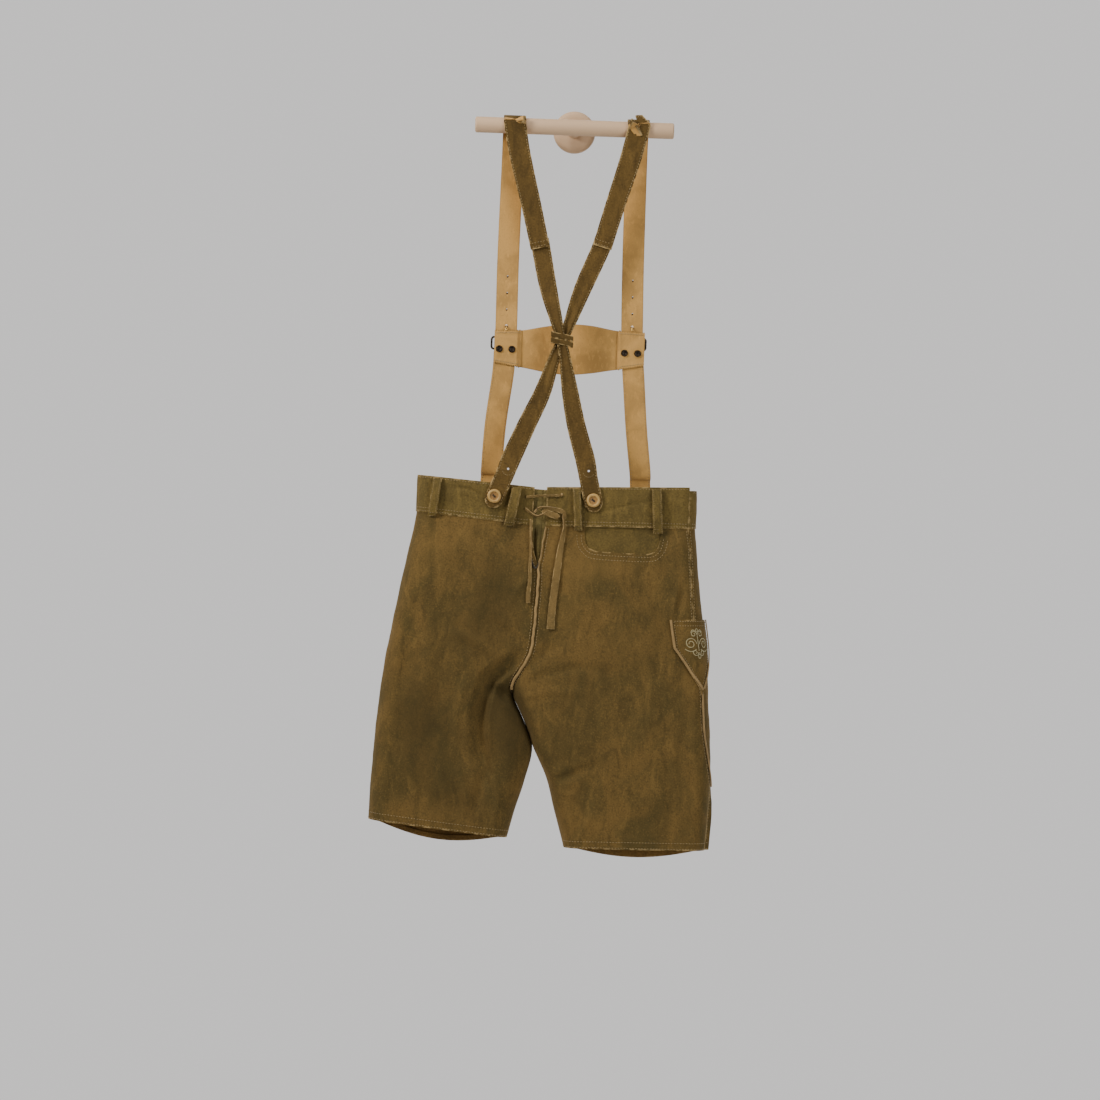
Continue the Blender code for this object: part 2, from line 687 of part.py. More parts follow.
# Upper straps: from behind the chest bar's tabs up over the bar and down to the join with the back straps.
UPPER = {
    "strap_upper_left": (
        [Station(-93.8, -61, -337, 33), Station(-92.8, -61, -302, 33), Station(-93.5, -60.5, -200, 33),
         Station(-92, -60.5, -60, 33)],
        (-91.5, -89.5),
        [Station(-80, -90.5, -48, 32), Station(-60, -91.5, -125, 30), Station(-45.5, -92.5, -184, 29)],
    ),
    "strap_upper_right": (
        [Station(98.6, -61, -337, 33), Station(97.3, -61, -297.5, 33), Station(95.5, -60.5, -200, 33),
         Station(95, -60.5, -60, 33)],
        (95.5, 96.5),
        [Station(85, -90.5, -48, 32), Station(64, -91.5, -120, 30), Station(47.5, -92.5, -180, 29)],
    ),
}

# Lower front straps: from the chest bar down to their buttons outside the front waistband.
LOWER = {
    "strap_lower_left": [
        Station(-94, -61, -340, 33), Station(-95.2, -61, -374, 33), Station(-104, -56, -449, 32.5),
        Station(-107.6, -51, -515, 32),
    ],
    "strap_lower_right": [
        Station(98.7, -61, -340, 33), Station(102.2, -61, -375, 33), Station(109, -56, -450, 32.5),
        Station(117, -51, -515, 32),
    ],
}

# Back straps cross at the keeper. The one from the upper left lies on the other.
CROSS_Z = -321
BACK_STRAPS = {
    "strap_back_from_left": [
        Station(-47, -88.6, -171, 28), Station(-43, -89.2, -190, 28), Station(-31, -93.5, -245, 26),
        Station(-16, -99.4, -298, 18), Station(-9.5, -99.6, CROSS_Z, 15), Station(-3.5, -99.6, -344, 17),
        Station(7, -100.5, -400, 25), Station(18, -102, -450, 28), Station(33, -104.5, -500, 29.5),
    ],
    "strap_back_from_right": [
        Station(50, -88.6, -167, 28), Station(44, -89.2, -186, 28), Station(20, -92.5, -245, 26),
        Station(2, -95.7, -298, 18), Station(-7, -95.8, CROSS_Z, 15), Station(-17, -95.8, -344, 17),
        Station(-34, -98, -400, 25), Station(-56, -101, -450, 28), Station(-77, -104, -500, 29.5),
    ],
}
BACK_BUTTONS = {"strap_back_from_left": (47.5, -561), "strap_back_from_right": (-101.5, -559.5)}
FRONT_BUTTONS = {"strap_lower_left": (-110, -562), "strap_lower_right": (119.5, -562)}


def strap_end(skin, button, above, width):
    """The last stations of a strap, flat on the waistband round its button."""
    x, z = button
    off = skin.out_y * (LIFT + STRAP_THICK / 2)
    y = skin.depth(x, z, width / 2) + off
    lean = (x - above.x) / (z - above.z)
    steps = ((34, 1), (18, 1), (2, 1.03), (-8, 1), (-13.5, 0.78), (-17, 0.4))
    return [Station(x + lean * (step + 3), y, z + step, width * share) for step, share in steps]


def straps(suede, tan, bone, back, front):
    for name, (rise, (start_x, end_x), fall_side) in UPPER.items():
        piece = strip(name, tan, rise + over_bar(start_x, end_x) + fall_side, STRAP_THICK)
        middle = rise[1].x
        holes = [circle(middle, rise[1].z + 1.5, 2.4)]
        holes += [circle(mixed(middle, rise[2].x, k * 0.25), -276 + 25 * k, 1.7) for k in range(3)]
        for outline in holes:
            cut(piece, outline, -66, -55)
    for name, stations in LOWER.items():
        button = FRONT_BUTTONS[name]
        strip(name, tan, stations + strap_end(front, button, stations[-1], 31), STRAP_THICK)
    for name, stations in BACK_STRAPS.items():
        button = BACK_BUTTONS[name]
        strip(name, suede, stations + strap_end(back, button, stations[-1], 27.5), STRAP_THICK)
    for buttons, skin in ((BACK_BUTTONS, back), (FRONT_BUTTONS, front)):
        for strap, (x, z) in buttons.items():
            y = skin.depth(x, z, 15) + skin.out_y * (LIFT + STRAP_THICK + GAP)
            name = strap.replace("strap", "button")
            turned(name, bone, BUTTON_PROFILE, (x, y, z), (0, skin.out_y, 0))


# Chest bar: x, its top edge and its bottom edge. It lies outside the front straps, its tabs inside them.
ChestRow = namedtuple("ChestRow", "x top bottom")
CHEST = (
    ChestRow(-110, -308.5, -357), ChestRow(-90, -308, -360), ChestRow(-69, -307, -363),
    ChestRow(-33, -300, -369), ChestRow(-2, -295.5, -372), ChestRow(34.5, -296.5, -369),
    ChestRow(76, -303, -362), ChestRow(97, -304, -358.5), ChestRow(117, -305, -355),
)
BAR_THICK, TAB_THICK = 2.8, 2.4
CHEST_Y = -56.4


def chest(tan, metal):
    """The bar, its two tabs folded back over the straps, their press studs, and the buckles."""

    def bar(k, v):
        row = CHEST[k]
        return Vector((row.x, CHEST_Y, mixed(row.top, row.bottom, v))), Vector((0, 1, 0))

    wall("chest_bar", tan, range(len(CHEST)), (0, 1), bar, lambda v: BAR_THICK)
    tab_y = -61 - STRAP_THICK / 2 - GAP - TAB_THICK
    for name, ends, studs in (("left", (0, 1, 2), (-102, -83)), ("right", (6, 7, 8), (87, 107))):

        def tab(k, v, ends=ends):
            row = CHEST[ends[k]]
            return Vector((row.x, tab_y, mixed(row.top, row.bottom, v))), Vector((0, -1, 0))

        wall(f"chest_tab_{name}", tan, (0, 1, 2), (0, 1), tab, lambda v: TAB_THICK)
        for number, x in enumerate(studs, 1):
            turned(f"stud_{name}_{number}", metal, SNAP_PROFILE, (x, tab_y - GAP, -336.5), (0, -1, 0), 12)
    for name, x, z, hole_z in (("left", -92.8, -327, -300.5), ("right", 97.3, -322, -296)):
        buckle(name, metal, x, z, hole_z)


def buckle(name, metal, x, z, hole_z):
    """A wire frame outside the chest bar, and its prong, which comes up through the strap's hole."""
    half_width, half_height, corner = 21.5, 9.0, 4.0
    wire, prong_wire = 1.6, 1.1
    y = CHEST_Y + GAP + wire
    ring = []
    for quarter, (sx, sz) in enumerate(((1, 1), (-1, 1), (-1, -1), (1, -1))):
        for step in range(3):
            angle = math.pi / 2 * (quarter + step / 2)
            ring.append(
                (
                    x + sx * (half_width - corner) + corner * math.cos(angle),
                    y,
                    z + sz * (half_height - corner) + corner * math.sin(angle),
                )
            )
    tube(f"buckle_{name}", metal, ring, wire, closed=True)
    rest = y + wire + GAP + prong_wire
    prong = (
        (x, y, z - half_height + wire + GAP + prong_wire + 0.1),
        (x, rest, z - 2),
        (x, rest, z + half_height + 1.5),
        (x, y - 1.5, hole_z - 1.5),
        (x, -61, hole_z),
        (x, -65, hole_z + 0.3),
    )
    tube(f"prong_{name}", metal, prong, prong_wire)


def keeper(suede):
    """A band round both back straps where they cross, its ends meeting on the wall's side."""
    left, right, room, wall_side, corner = -24.5, 8.5, -104.0, -91.4, 3.0
    thick, half_height, half_gap = 2.2, 9.0, 0.25
    middle = (left + right) / 2
    path = [(middle + half_gap, wall_side, 0, 1)]
    for x, y, start in ((right, wall_side, 90), (right, room, 0), (left, room, -90), (left, wall_side, -180)):
        cx = x - math.copysign(corner, x - middle)
        cy = y - math.copysign(corner, y - (room + wall_side) / 2)
        for step in range(3):
            angle = math.radians(start - 45 * step)
            out_x, out_y = math.cos(angle), math.sin(angle)
            path.append((cx + corner * out_x, cy + corner * out_y, out_x, out_y))
    path.append((middle - half_gap, wall_side, 0, 1))

    def place(k, v):
        x, y, out_x, out_y = path[k]
        return Vector((x, y, CROSS_Z + mixed(half_height, -half_height, v))), Vector((out_x, out_y, 0))

    wall("keeper", suede, range(len(path)), (0, 1), place, lambda v: thick)


BOW_THICK = 2.4


def lace(beige, back):
    """The thong that laces the vent: a bar across, a bow-like knot and two free tails."""

    def stations(rows):
        return [Station(x, back.depth(x, z, 16) - off, z, width) for x, z, width, off in rows]

    across = stations(((-53, -559, 6, 1.7), (-26, -556.5, 7, 2.4), (2, -554.5, 6, 1.7)))
    strip("lace_bar", beige, across, TRIM_THICK, 2)
    bow = ((-55, -580, 6, 3), (-44, -586, 8, 5), (-34, -587, 8, 7), (-27, -578, 8, 8), (-16, -575.5, 8, 7),
           (-4, -579, 8, 5.5), (6, -584, 7, 3.5))
    strip("lace_bow", beige, stations(bow), BOW_THICK, 2)
    strip("lace_tail_left", beige,
          stations(((-44, -593, 5, 4), (-41.5, -625, 5, 3), (-41.5, -653, 5.5, 2.6), (-43, -690, 6, 2.6),
                    (-44.5, -718, 7, 2.6))), TRIM_THICK, 2)
    strip("lace_tail_right", beige,
          stations(((7, -591, 9, 4.5), (7.5, -618, 10, 3.2), (1, -650, 11, 2.6), (-5, -705, 13, 2.6),
                    (-9.5, -756, 14, 2.6))), TRIM_THICK, 2)


def rail(beech):
    """A plain rail: a wall plate whose back is the origin, a stem and a bar."""
    plate = ((0, 10), (24, 10), (29, 8.5), (32, 5), (32, 0), (0, 0))
    turned("wall_plate", beech, plate, (0, 0, 0), (0, -1, 0), 32)
    stem_length = -MIDDLE_Y - BAR_RADIUS - 10 - 2 * GAP
    stem = ((0, stem_length), (9, stem_length), (9, 0), (0, 0))
    turned("rail_stem", beech, stem, (0, -10 - GAP, 0), (0, -1, 0), 20)
    half = 150
    bar = ((0, half), (9, half), (BAR_RADIUS, half - 3), (BAR_RADIUS, 3 - half), (9, -half), (0, -half))
    turned("rail_bar", beech, bar, (0, MIDDLE_Y, 0), (1, 0, 0), 24)


def main():
    for found in list(bpy.data.objects):
        bpy.data.objects.remove(found)
    suede = material("suede", (0.098, 0.060, 0.020), 0.9)
    band = material("waistband suede", (0.130, 0.085, 0.030), 0.9)
    tan = material("flesh side", (0.40, 0.235, 0.095), 0.85)
    beige = material("lace and piping", (0.42, 0.28, 0.13), 0.8)
    bone = material("bone", (0.50, 0.34, 0.15), 0.45)
    metal = material("antique metal", (0.16, 0.12, 0.07), 0.4, 0.9)
    beech = material("beech", (0.50, 0.33, 0.19), 0.5)

    cloth = panels(suede)
    bands = waistband(band)
    back = Skin([cloth["back_left_panel"], cloth["back_right_panel"], *list(bands.values())[:2]], True)
    front = Skin([cloth["front_left_panel"], cloth["front_right_panel"], *list(bands.values())[2:]], False)
    pocket_facing(suede, cloth["back_right_panel"])
    gusset(suede)
    belt_loops(suede, back, front)
    knife_pocket(suede, beige)
    piping(beige, back)
    fall(suede, bone, front)
    straps(suede, tan, bone, back, front)
    chest(tan, metal)
    keeper(suede)
    lace(beige, back)
    rail(beech)


main()
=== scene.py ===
"""The looks of suede lederhosen that hang by their braces from a wall rail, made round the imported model.

Tables are in millimetres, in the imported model's frame, and become metres where a mesh is made: +X is the
right-hand side as seen from behind, -Y points from the wall into the room, +Z is up.
"""

import math
from collections import namedtuple

import bmesh
import bpy
import numpy as np
from bpy.props import FloatProperty, FloatVectorProperty, PointerProperty
from mathutils import Matrix, Vector, noise
from mathutils.bvhtree import BVHTree


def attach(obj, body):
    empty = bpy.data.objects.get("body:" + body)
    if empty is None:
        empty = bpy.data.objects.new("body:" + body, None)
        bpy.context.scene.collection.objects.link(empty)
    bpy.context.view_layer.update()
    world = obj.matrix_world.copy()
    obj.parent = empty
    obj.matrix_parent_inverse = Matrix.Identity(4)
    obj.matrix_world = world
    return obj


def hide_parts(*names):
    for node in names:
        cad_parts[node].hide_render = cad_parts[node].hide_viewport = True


bl_info = {
    "name": "Lederhosen on a rail",
    "version": (1, 0, 0),
    "blender": (4, 5, 0),
    "location": "3D View > Sidebar > Lederhosen",
    "description": "Makes suede lederhosen with laced vent and crossed braces round their packed model",
    "category": "Object",
}

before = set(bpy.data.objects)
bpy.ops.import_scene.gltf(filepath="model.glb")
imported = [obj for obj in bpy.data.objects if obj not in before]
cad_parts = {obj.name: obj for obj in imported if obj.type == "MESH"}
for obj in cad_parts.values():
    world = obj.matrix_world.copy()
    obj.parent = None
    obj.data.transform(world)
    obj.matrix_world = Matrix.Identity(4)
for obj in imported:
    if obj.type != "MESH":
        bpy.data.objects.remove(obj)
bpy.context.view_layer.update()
MM = 0.001


def srgb(red, green, blue):
    """A linear colour from display values of 0 to 255."""
    return tuple(
        value / 12.92 if value <= 0.04045 else ((value + 0.055) / 1.055) ** 2.4
        for value in (red / 255, green / 255, blue / 255)
    )


# ---------------------------------------------------------------------------- what a user would change


def length_of(name, description, default):
    return FloatProperty(name=name, description=description, default=default, min=0.0, unit="LENGTH",
                         precision=4)


def colour_of(name, description, default):
    return FloatVectorProperty(
        name=name, description=description, default=default, size=3, min=0.0, max=1.0, subtype="COLOR"
    )


class LederhosenSizes(bpy.types.PropertyGroup):
    panel: length_of("Panel leather", "Thickness of the leg and seat panels", 0.0018)
    hem: length_of("Hem", "Thickness of the turned hem", 0.0034)
    band: length_of("Waistband", "Thickness of the waistband", 0.0034)
    strap: length_of("Strap", "Thickness of the braces", 0.003)
    trim: length_of("Trim", "Thickness of the lace, the facings and the knife pocket", 0.0016)
    stitch: length_of("Stitch", "Length of one stitch", 0.0031)
    stitch_gap: length_of("Stitch gap", "Gap between two stitches", 0.0013)
    thread: length_of("Thread", "Radius of the sewing thread", 0.0005)
    button: length_of("Button", "Radius of the horn buttons", 0.0105)
    wire: length_of("Buckle wire", "Radius of the buckles' wire", 0.0016)


class LederhosenColours(bpy.types.PropertyGroup):
    suede: colour_of("Suede", "Main colour of the panels", srgb(97, 75, 37))
    suede_dark: colour_of("Suede, olive", "Olive patches of the panels", srgb(74, 61, 30))
    band: colour_of("Waistband suede", "Main colour of the waistband", srgb(99, 81, 40))
    strap: colour_of("Brace suede", "Outside of the braces", srgb(88, 67, 31))
    flesh: colour_of("Flesh side", "Inside of the braces and the chest bar", srgb(184, 140, 75))
    beige: colour_of("Beige leather", "Lace and piping", srgb(150, 121, 76))
    thread: colour_of("Thread", "Sewing thread", srgb(152, 127, 80))
    embroidery: colour_of("Embroidery", "Thread of the knife pocket's scrolls", srgb(176, 162, 116))
    bone: colour_of("Horn", "Rim of the buttons", srgb(170, 134, 72))
    bone_core: colour_of("Horn core", "Dish of the buttons", srgb(148, 108, 54))
    metal: colour_of("Dark metal", "Press studs and buckle frames", srgb(70, 60, 50))
    brass: colour_of("Brass", "Buckle prongs", srgb(214, 176, 104))
    beech: colour_of("Beech", "The rail", srgb(206, 170, 128))


def sizes():
    return bpy.context.scene.lederhosen_sizes


def colours():
    return bpy.context.scene.lederhosen_colours


# ---------------------------------------------------------------------------- the garment's form

GAP = 0.3
MIDDLE_Y = -75.0
OUTER_ROUND = 26.0
CROWN = 4.0
BAND_PROUD = 1.2
SLIT_SPREAD = 0.5
VENT_END_LEVEL = 0.14
BAND_TOP_LEVEL = -0.12
BAND_BOTTOM_LEVEL = 0.003
CROTCH_LEVEL = 0.52
HEM_TURN_LEVEL = 0.975
LIFT = 0.9

# One row for each level of a half of the garment.
# outer: the outline at the side. inner: the centre-back seam, then the inseam below the crotch.
# front_x: the centre-front seam. back, front: how far each face stands off the middle plane.
# closed: 0 where the inner seam lies on the face, 1 where the leg closes round it. inner_round: width of
# that rounding. seam_in: how far the side seam lies in from the outline, on the back if positive.
# front_dip: how much lower the front hangs in mid width. flare: how far the front stands out at the slit.
Row = namedtuple(
    "Row",
    "level outer_x outer_z inner_x inner_z front_x back front closed inner_round seam_in front_dip flare",
)

LEFT_ROWS = (
    Row(-0.12, -217, -531, -41, -544, 6, 24, 21, 0, 30, -12, 0, 0),
    Row(0.00, -218, -585, -42, -600, 6, 26, 23, 0, 30, -12, 0, 0),
    Row(0.07, -222, -612, -40, -635, 5, 30, 27, 0, 30, -12, 0, 0),
    Row(0.14, -228, -640, -31.5, -668, 4, 33, 29, 0, 30, -12, 0, 0),
    Row(0.26, -238, -695, -33, -727, 0, 36, 31, 0, 32, -12, 0, 0),
    Row(0.35, -246, -740, -36, -772, -8, 38, 33, 0, 34, -12, 0, 0),
    Row(0.40, -250, -765, -41, -797, -20, 39, 34, 0.02, 36, -12, 0, 0),
    Row(0.45, -255, -792, -55, -822, -40, 39, 34, 0.15, 38, -12, 0, 0),
    Row(0.49, -259, -816, -65, -842, -58, 39, 34, 0.42, 40, -12, 0, 0),
    Row(0.52, -261, -835, -64, -857, -64, 39, 34, 1, 42, -12, 0, 0),
    Row(0.55, -262.8, -852, -57.6, -871.5, -57.6, 39, 34, 1, 44, -12, 1, 0),
    Row(0.59, -265, -875, -48.2, -890, -48.2, 39, 34, 1, 46, -12, 2, 0),
    Row(0.68, -269.5, -925, -31.6, -933, -31.6, 38, 34, 1, 46, -12, 7, 0),
    Row(0.80, -272.5, -980, -42, -988, -42, 37, 33, 1, 40, -12, 12, 0),
    Row(0.89, -274, -1015, -54.5, -1030, -54.5, 36, 33, 1, 34, -12, 17, 0),
    Row(1.00, -275, -1051, -65, -1072, -65, 35, 32, 1, 30, -12, 20, 0),
)

RIGHT_ROWS = (
    Row(-0.12, 202, -536, -23, -543, 6, 24, 21, 0, 30, 10, 0, 0),
    Row(0.00, 203, -597, -23, -600, 6, 26, 23, 0, 30, 11, 0, 0),
    Row(0.07, 205.5, -627, -27, -635, 5, 30, 27, 0, 30, 10, 0, 0),
    Row(0.14, 209, -660, -31.5, -668, 4, 33, 29, 0, 30, 11, 0, 0),
    Row(0.26, 217, -722, -33, -727, 0, 36, 31, 0, 30, 14, 0, 0),
    Row(0.35, 224, -768, -36, -772, -8, 38, 33, 0, 28, 14, 0, 0),
    Row(0.40, 227, -795, -41, -797, -20, 39, 34, 0.02, 26, 13, 0, 0),
    Row(0.45, 229.5, -825, -55, -822, -40, 39, 34, 0.15, 24, 12, 0, 0),
    Row(0.49, 231, -847, -65, -842, -58, 39, 34, 0.42, 22, 11, 0, 0),
    Row(0.52, 232, -862, -64, -857, -64, 39, 34, 1, 20, 11, 0, 0),
    Row(0.55, 233.3, -878.5, -57.3, -871.5, -57.3, 39, 34, 1, 20, 11, 1, 0),
    Row(0.59, 235, -900, -47.9, -890, -47.9, 39, 34, 1, 20, 11, 2, 0),
    Row(0.64, 236.7, -925, -37.6, -914, -37.6, 38.5, 34, 1, 20, 8.5, 4, 0),
    Row(0.68, 238, -945, -31, -933, -31, 38, 34, 1, 20, 6, 6, 0),
    Row(0.78, 239.5, -985, -9, -980, -9, 37, 33, 1, 22, 1.5, 11, 0.5),
    Row(0.89, 237.5, -1030, 4, -1026, 4, 36, 33, 1, 24, 1, 13, 5),
    Row(1.00, 234.5, -1081, 21, -1084, 21, 35, 32, 1, 24, 1, 16, 5),
)

# Folds and creases placed one by one: a path in X and Z, the depth (a trough is negative) and the width on
# each side of the path.
Fold = namedtuple("Fold", "path depth width_left width_right")
BACK_FOLDS = (
    # The deep fold of the left leg, its hollow below the crotch and the facets round it.
    Fold(((-48, -806), (-73, -820), (-95, -838), (-103, -865), (-107, -892), (-107, -918), (-103, -946),
          (-96, -975)), -16, 26, 10),
    Fold(((-94, -846), (-78, -857), (-60, -866)), -12, 16, 16),
    Fold(((-96, -850), (-99, -880), (-99, -915), (-95, -950)), 3, 7, 9),
    Fold(((-100, -975), (-108, -1010), (-118, -1040)), -4, 16, 14),
    Fold(((-142, -975), (-128, -1010), (-106, -1048)), 4, 12, 10),
    Fold(((-176, -960), (-163, -1000), (-152, -1046)), 3, 14, 12),
    Fold(((-128, -826), (-140, -860), (-146, -905), (-140, -940)), 2.2, 18, 14),
    Fold(((-205, -960), (-196, -1000), (-190, -1035)), -1.8, 12, 14),
    Fold(((-86, -985), (-80, -1015), (-82, -1050)), 2.4, 9, 11),
    # Drag lines that run from the crotch into the seat.
    Fold(((-60, -835), (-30, -800), (10, -775)), -3, 14, 18),
    Fold(((-58, -848), (-20, -826), (35, -812), (80, -818)), -2.2, 9, 13),
    Fold(((-52, -862), (-14, -850), (40, -850)), 1.8, 9, 11),
    Fold(((-66, -822), (-92, -796), (-130, -772), (-165, -765)), 2.4, 12, 14),
    Fold(((-44, -786), (-70, -764), (-110, -742)), -1.6, 9, 11),
    # Soft drag from the end of the vent and from the pocket's corners.
    Fold(((-36, -672), (-56, -690), (-70, -716)), 1.5, 8, 8),
    Fold(((-26, -668), (-4, -684), (16, -712)), -1.5, 8, 9),
    Fold(((-22, -640), (-4, -652), (18, -656)), 1.3, 7, 7),
    Fold(((44, -640), (52, -654), (56, -672)), 1.3, 5, 6),
    Fold(((140, -638), (132, -656), (118, -676)), -1.2, 6, 7),
    Fold(((92, -652), (90, -676), (98, -704)), 1.0, 8, 8),
    # Long soft folds of both legs.
    Fold(((-4, -985), (25, -975), (60, -958)), -4, 12, 12),
    Fold(((-2, -1000), (24, -1002), (48, -1012)), 1.6, 7, 8),
    Fold(((120, -880), (150, -950), (165, -1040)), 4, 26, 24),
    Fold(((86, -905), (72, -960), (50, -1010), (38, -1060)), -2.0, 20, 16),
    Fold(((62, -1030), (50, -1052), (42, -1070)), 1.6, 5, 7),
    Fold(((196, -900), (190, -955), (200, -1010)), -2.0, 12, 16),
    Fold(((182, -1040), (196, -1056), (214, -1068)), 1.5, 6, 7),
    Fold(((-200, -700), (-190, -800), (-205, -900)), 4, 26, 26),
    Fold(((-232, -760), (-226, -812), (-236, -866)), -2.0, 9, 14),
    Fold(((-150, -640), (-160, -690), (-150, -745)), -1.6, 20, 22),
    Fold(((150, -700), (160, -755), (148, -815)), -1.8, 18, 20),
    # Beside the right side seam, above the knife pocket.
    Fold(((188, -680), (184, -702), (182, -724)), -4, 9, 9),
    Fold(((176, -698), (173, -716), (172, -732)), 1.6, 6, 6),
    # The waistband.
    Fold(((-166, -548), (-142, -549), (-122, -557), (-110, -570)), -1.9, 6, 4),
    Fold(((-160, -555), (-140, -556), (-124, -566)), 1.0, 6, 5),
    Fold(((58, -577), (80, -573), (104, -566), (132, -560)), -1.6, 4, 6),
    Fold(((160, -556), (176, -559), (192, -566)), 1.0, 5, 5),
    Fold(((162, -574), (180, -578), (198, -577)), -0.9, 4, 5),
    Fold(((-208, -556), (-200, -560), (-196, -570)), -0.9, 5, 6),
    Fold(((-58, -552), (-52, -568), (-54, -584)), -1.0, 5, 5),
)
FRONT_FOLDS = (
    Fold(((-70, -850), (-110, -900), (-128, -1000)), -8, 24, 16),
    Fold(((-50, -845), (0, -900), (30, -1000)), -7, 16, 24),
    Fold(((-200, -700), (-185, -850), (-200, -1000)), 4, 28, 28),
    Fold(((165, -700), (150, -850), (165, -1000)), 5, 28, 28),
    Fold(((-62, -846), (-112, -806), (-176, -780)), 3.2, 13, 17),
    Fold(((-48, -838), (6, -804), (80, -776), (140, -780)), 2.8, 12, 18),
    Fold(((-58, -858), (-92, -842), (-140, -842)), -2.2, 8, 12),
    Fold(((-50, -866), (-8, -848), (52, -846)), -2.4, 9, 13),
    Fold(((-150, -900), (-166, -955), (-158, -1030)), 2.6, 14, 17),
    Fold(((94, -900), (110, -960), (98, -1040)), 2.8, 16, 15),
    Fold(((-120, -640), (-132, -690), (-124, -745)), -1.6, 14, 18),
    Fold(((122, -640), (134, -700), (122, -760)), -1.8, 16, 16),
    Fold(((-206, -560), (-176, -566), (-150, -560)), -1.2, 5, 6),
    Fold(((130, -560), (160, -568), (190, -562)), -1.2, 5, 6),
)


def mixed(a, b, t):
    return a + (b - a) * t


def eased(t):
    t = np.clip(t, 0.0, 1.0)
    return t * t * (3 - 2 * t)


def hermite(before, a, b, after, slope_a, slope_b, t):
    return (
        (2 * t**3 - 3 * t**2 + 1) * a
        + (t**3 - 2 * t**2 + t) * (b - before) * slope_a
        + (3 * t**2 - 2 * t**3) * b
        + (t**3 - t**2) * (after - a) * slope_b
    )


def smooth_row(rows, level):
    """A table's row at each level, every column on a smooth curve through the table."""
    table = np.array(rows, float)
    known = table[:, 0]
    flat = np.ravel(level)
    last = len(known) - 1
    k = np.clip(np.searchsorted(known, flat, side="right") - 1, 0, last - 1)
    before, after = np.maximum(k - 1, 0), np.minimum(k + 2, last)
    span = known[k + 1] - known[k]
    values = hermite(
        table[before].T,
        table[k].T,
        table[k + 1].T,
        table[after].T,
        span / (known[k + 1] - known[before]),
        span / (known[after] - known[k]),
        (flat - known[k]) / span,
    )
    return Row(*values.reshape((len(values),) + np.shape(level)))


def smooth_path(stations, steps):
    """A smooth curve through rows of numbers, with so many steps between two rows."""
    table = np.array(stations, float)
    last = len(table) - 1
    t = np.append(np.repeat(np.arange(last), steps) + np.tile(np.arange(steps) / steps, last), last)
    k = np.minimum(t.astype(int), last - 1)
    share = (t - k)[:, None]
    return hermite(
        table[np.maximum(k - 1, 0)], table[k], table[k + 1], table[np.minimum(k + 2, last)], 0.5, 0.5, share
    )


def fold_height(folds, x, z):
    height = np.zeros_like(x)
    for fold in folds:
        nearest = np.full(x.shape, np.inf)
        side = np.zeros_like(x)
        along = np.zeros_like(x)
        for k, ((ax, az), (bx, bz)) in enumerate(zip(fold.path, fold.path[1:])):
            dx, dz = bx - ax, bz - az
            t = np.clip(((x - ax) * dx + (z - az) * dz) / (dx * dx + dz * dz), 0, 1)
            away = np.hypot(x - ax - dx * t, z - az - dz * t)
            closer = away < nearest
            nearest = np.where(closer, away, nearest)
            side = np.where(closer, dx * (z - az) - dz * (x - ax), side)
            along = np.where(closer, (k + t) / (len(fold.path) - 1), along)
        # A path that runs down the cloth has its left-hand side, as seen, where the product is negative.
        width = np.where(side < 0, fold.width_left, fold.width_right)
        height += fold.depth * (1 - eased(nearest / width)) * np.sin(np.pi * mixed(0.12, 0.88, along))
    return height


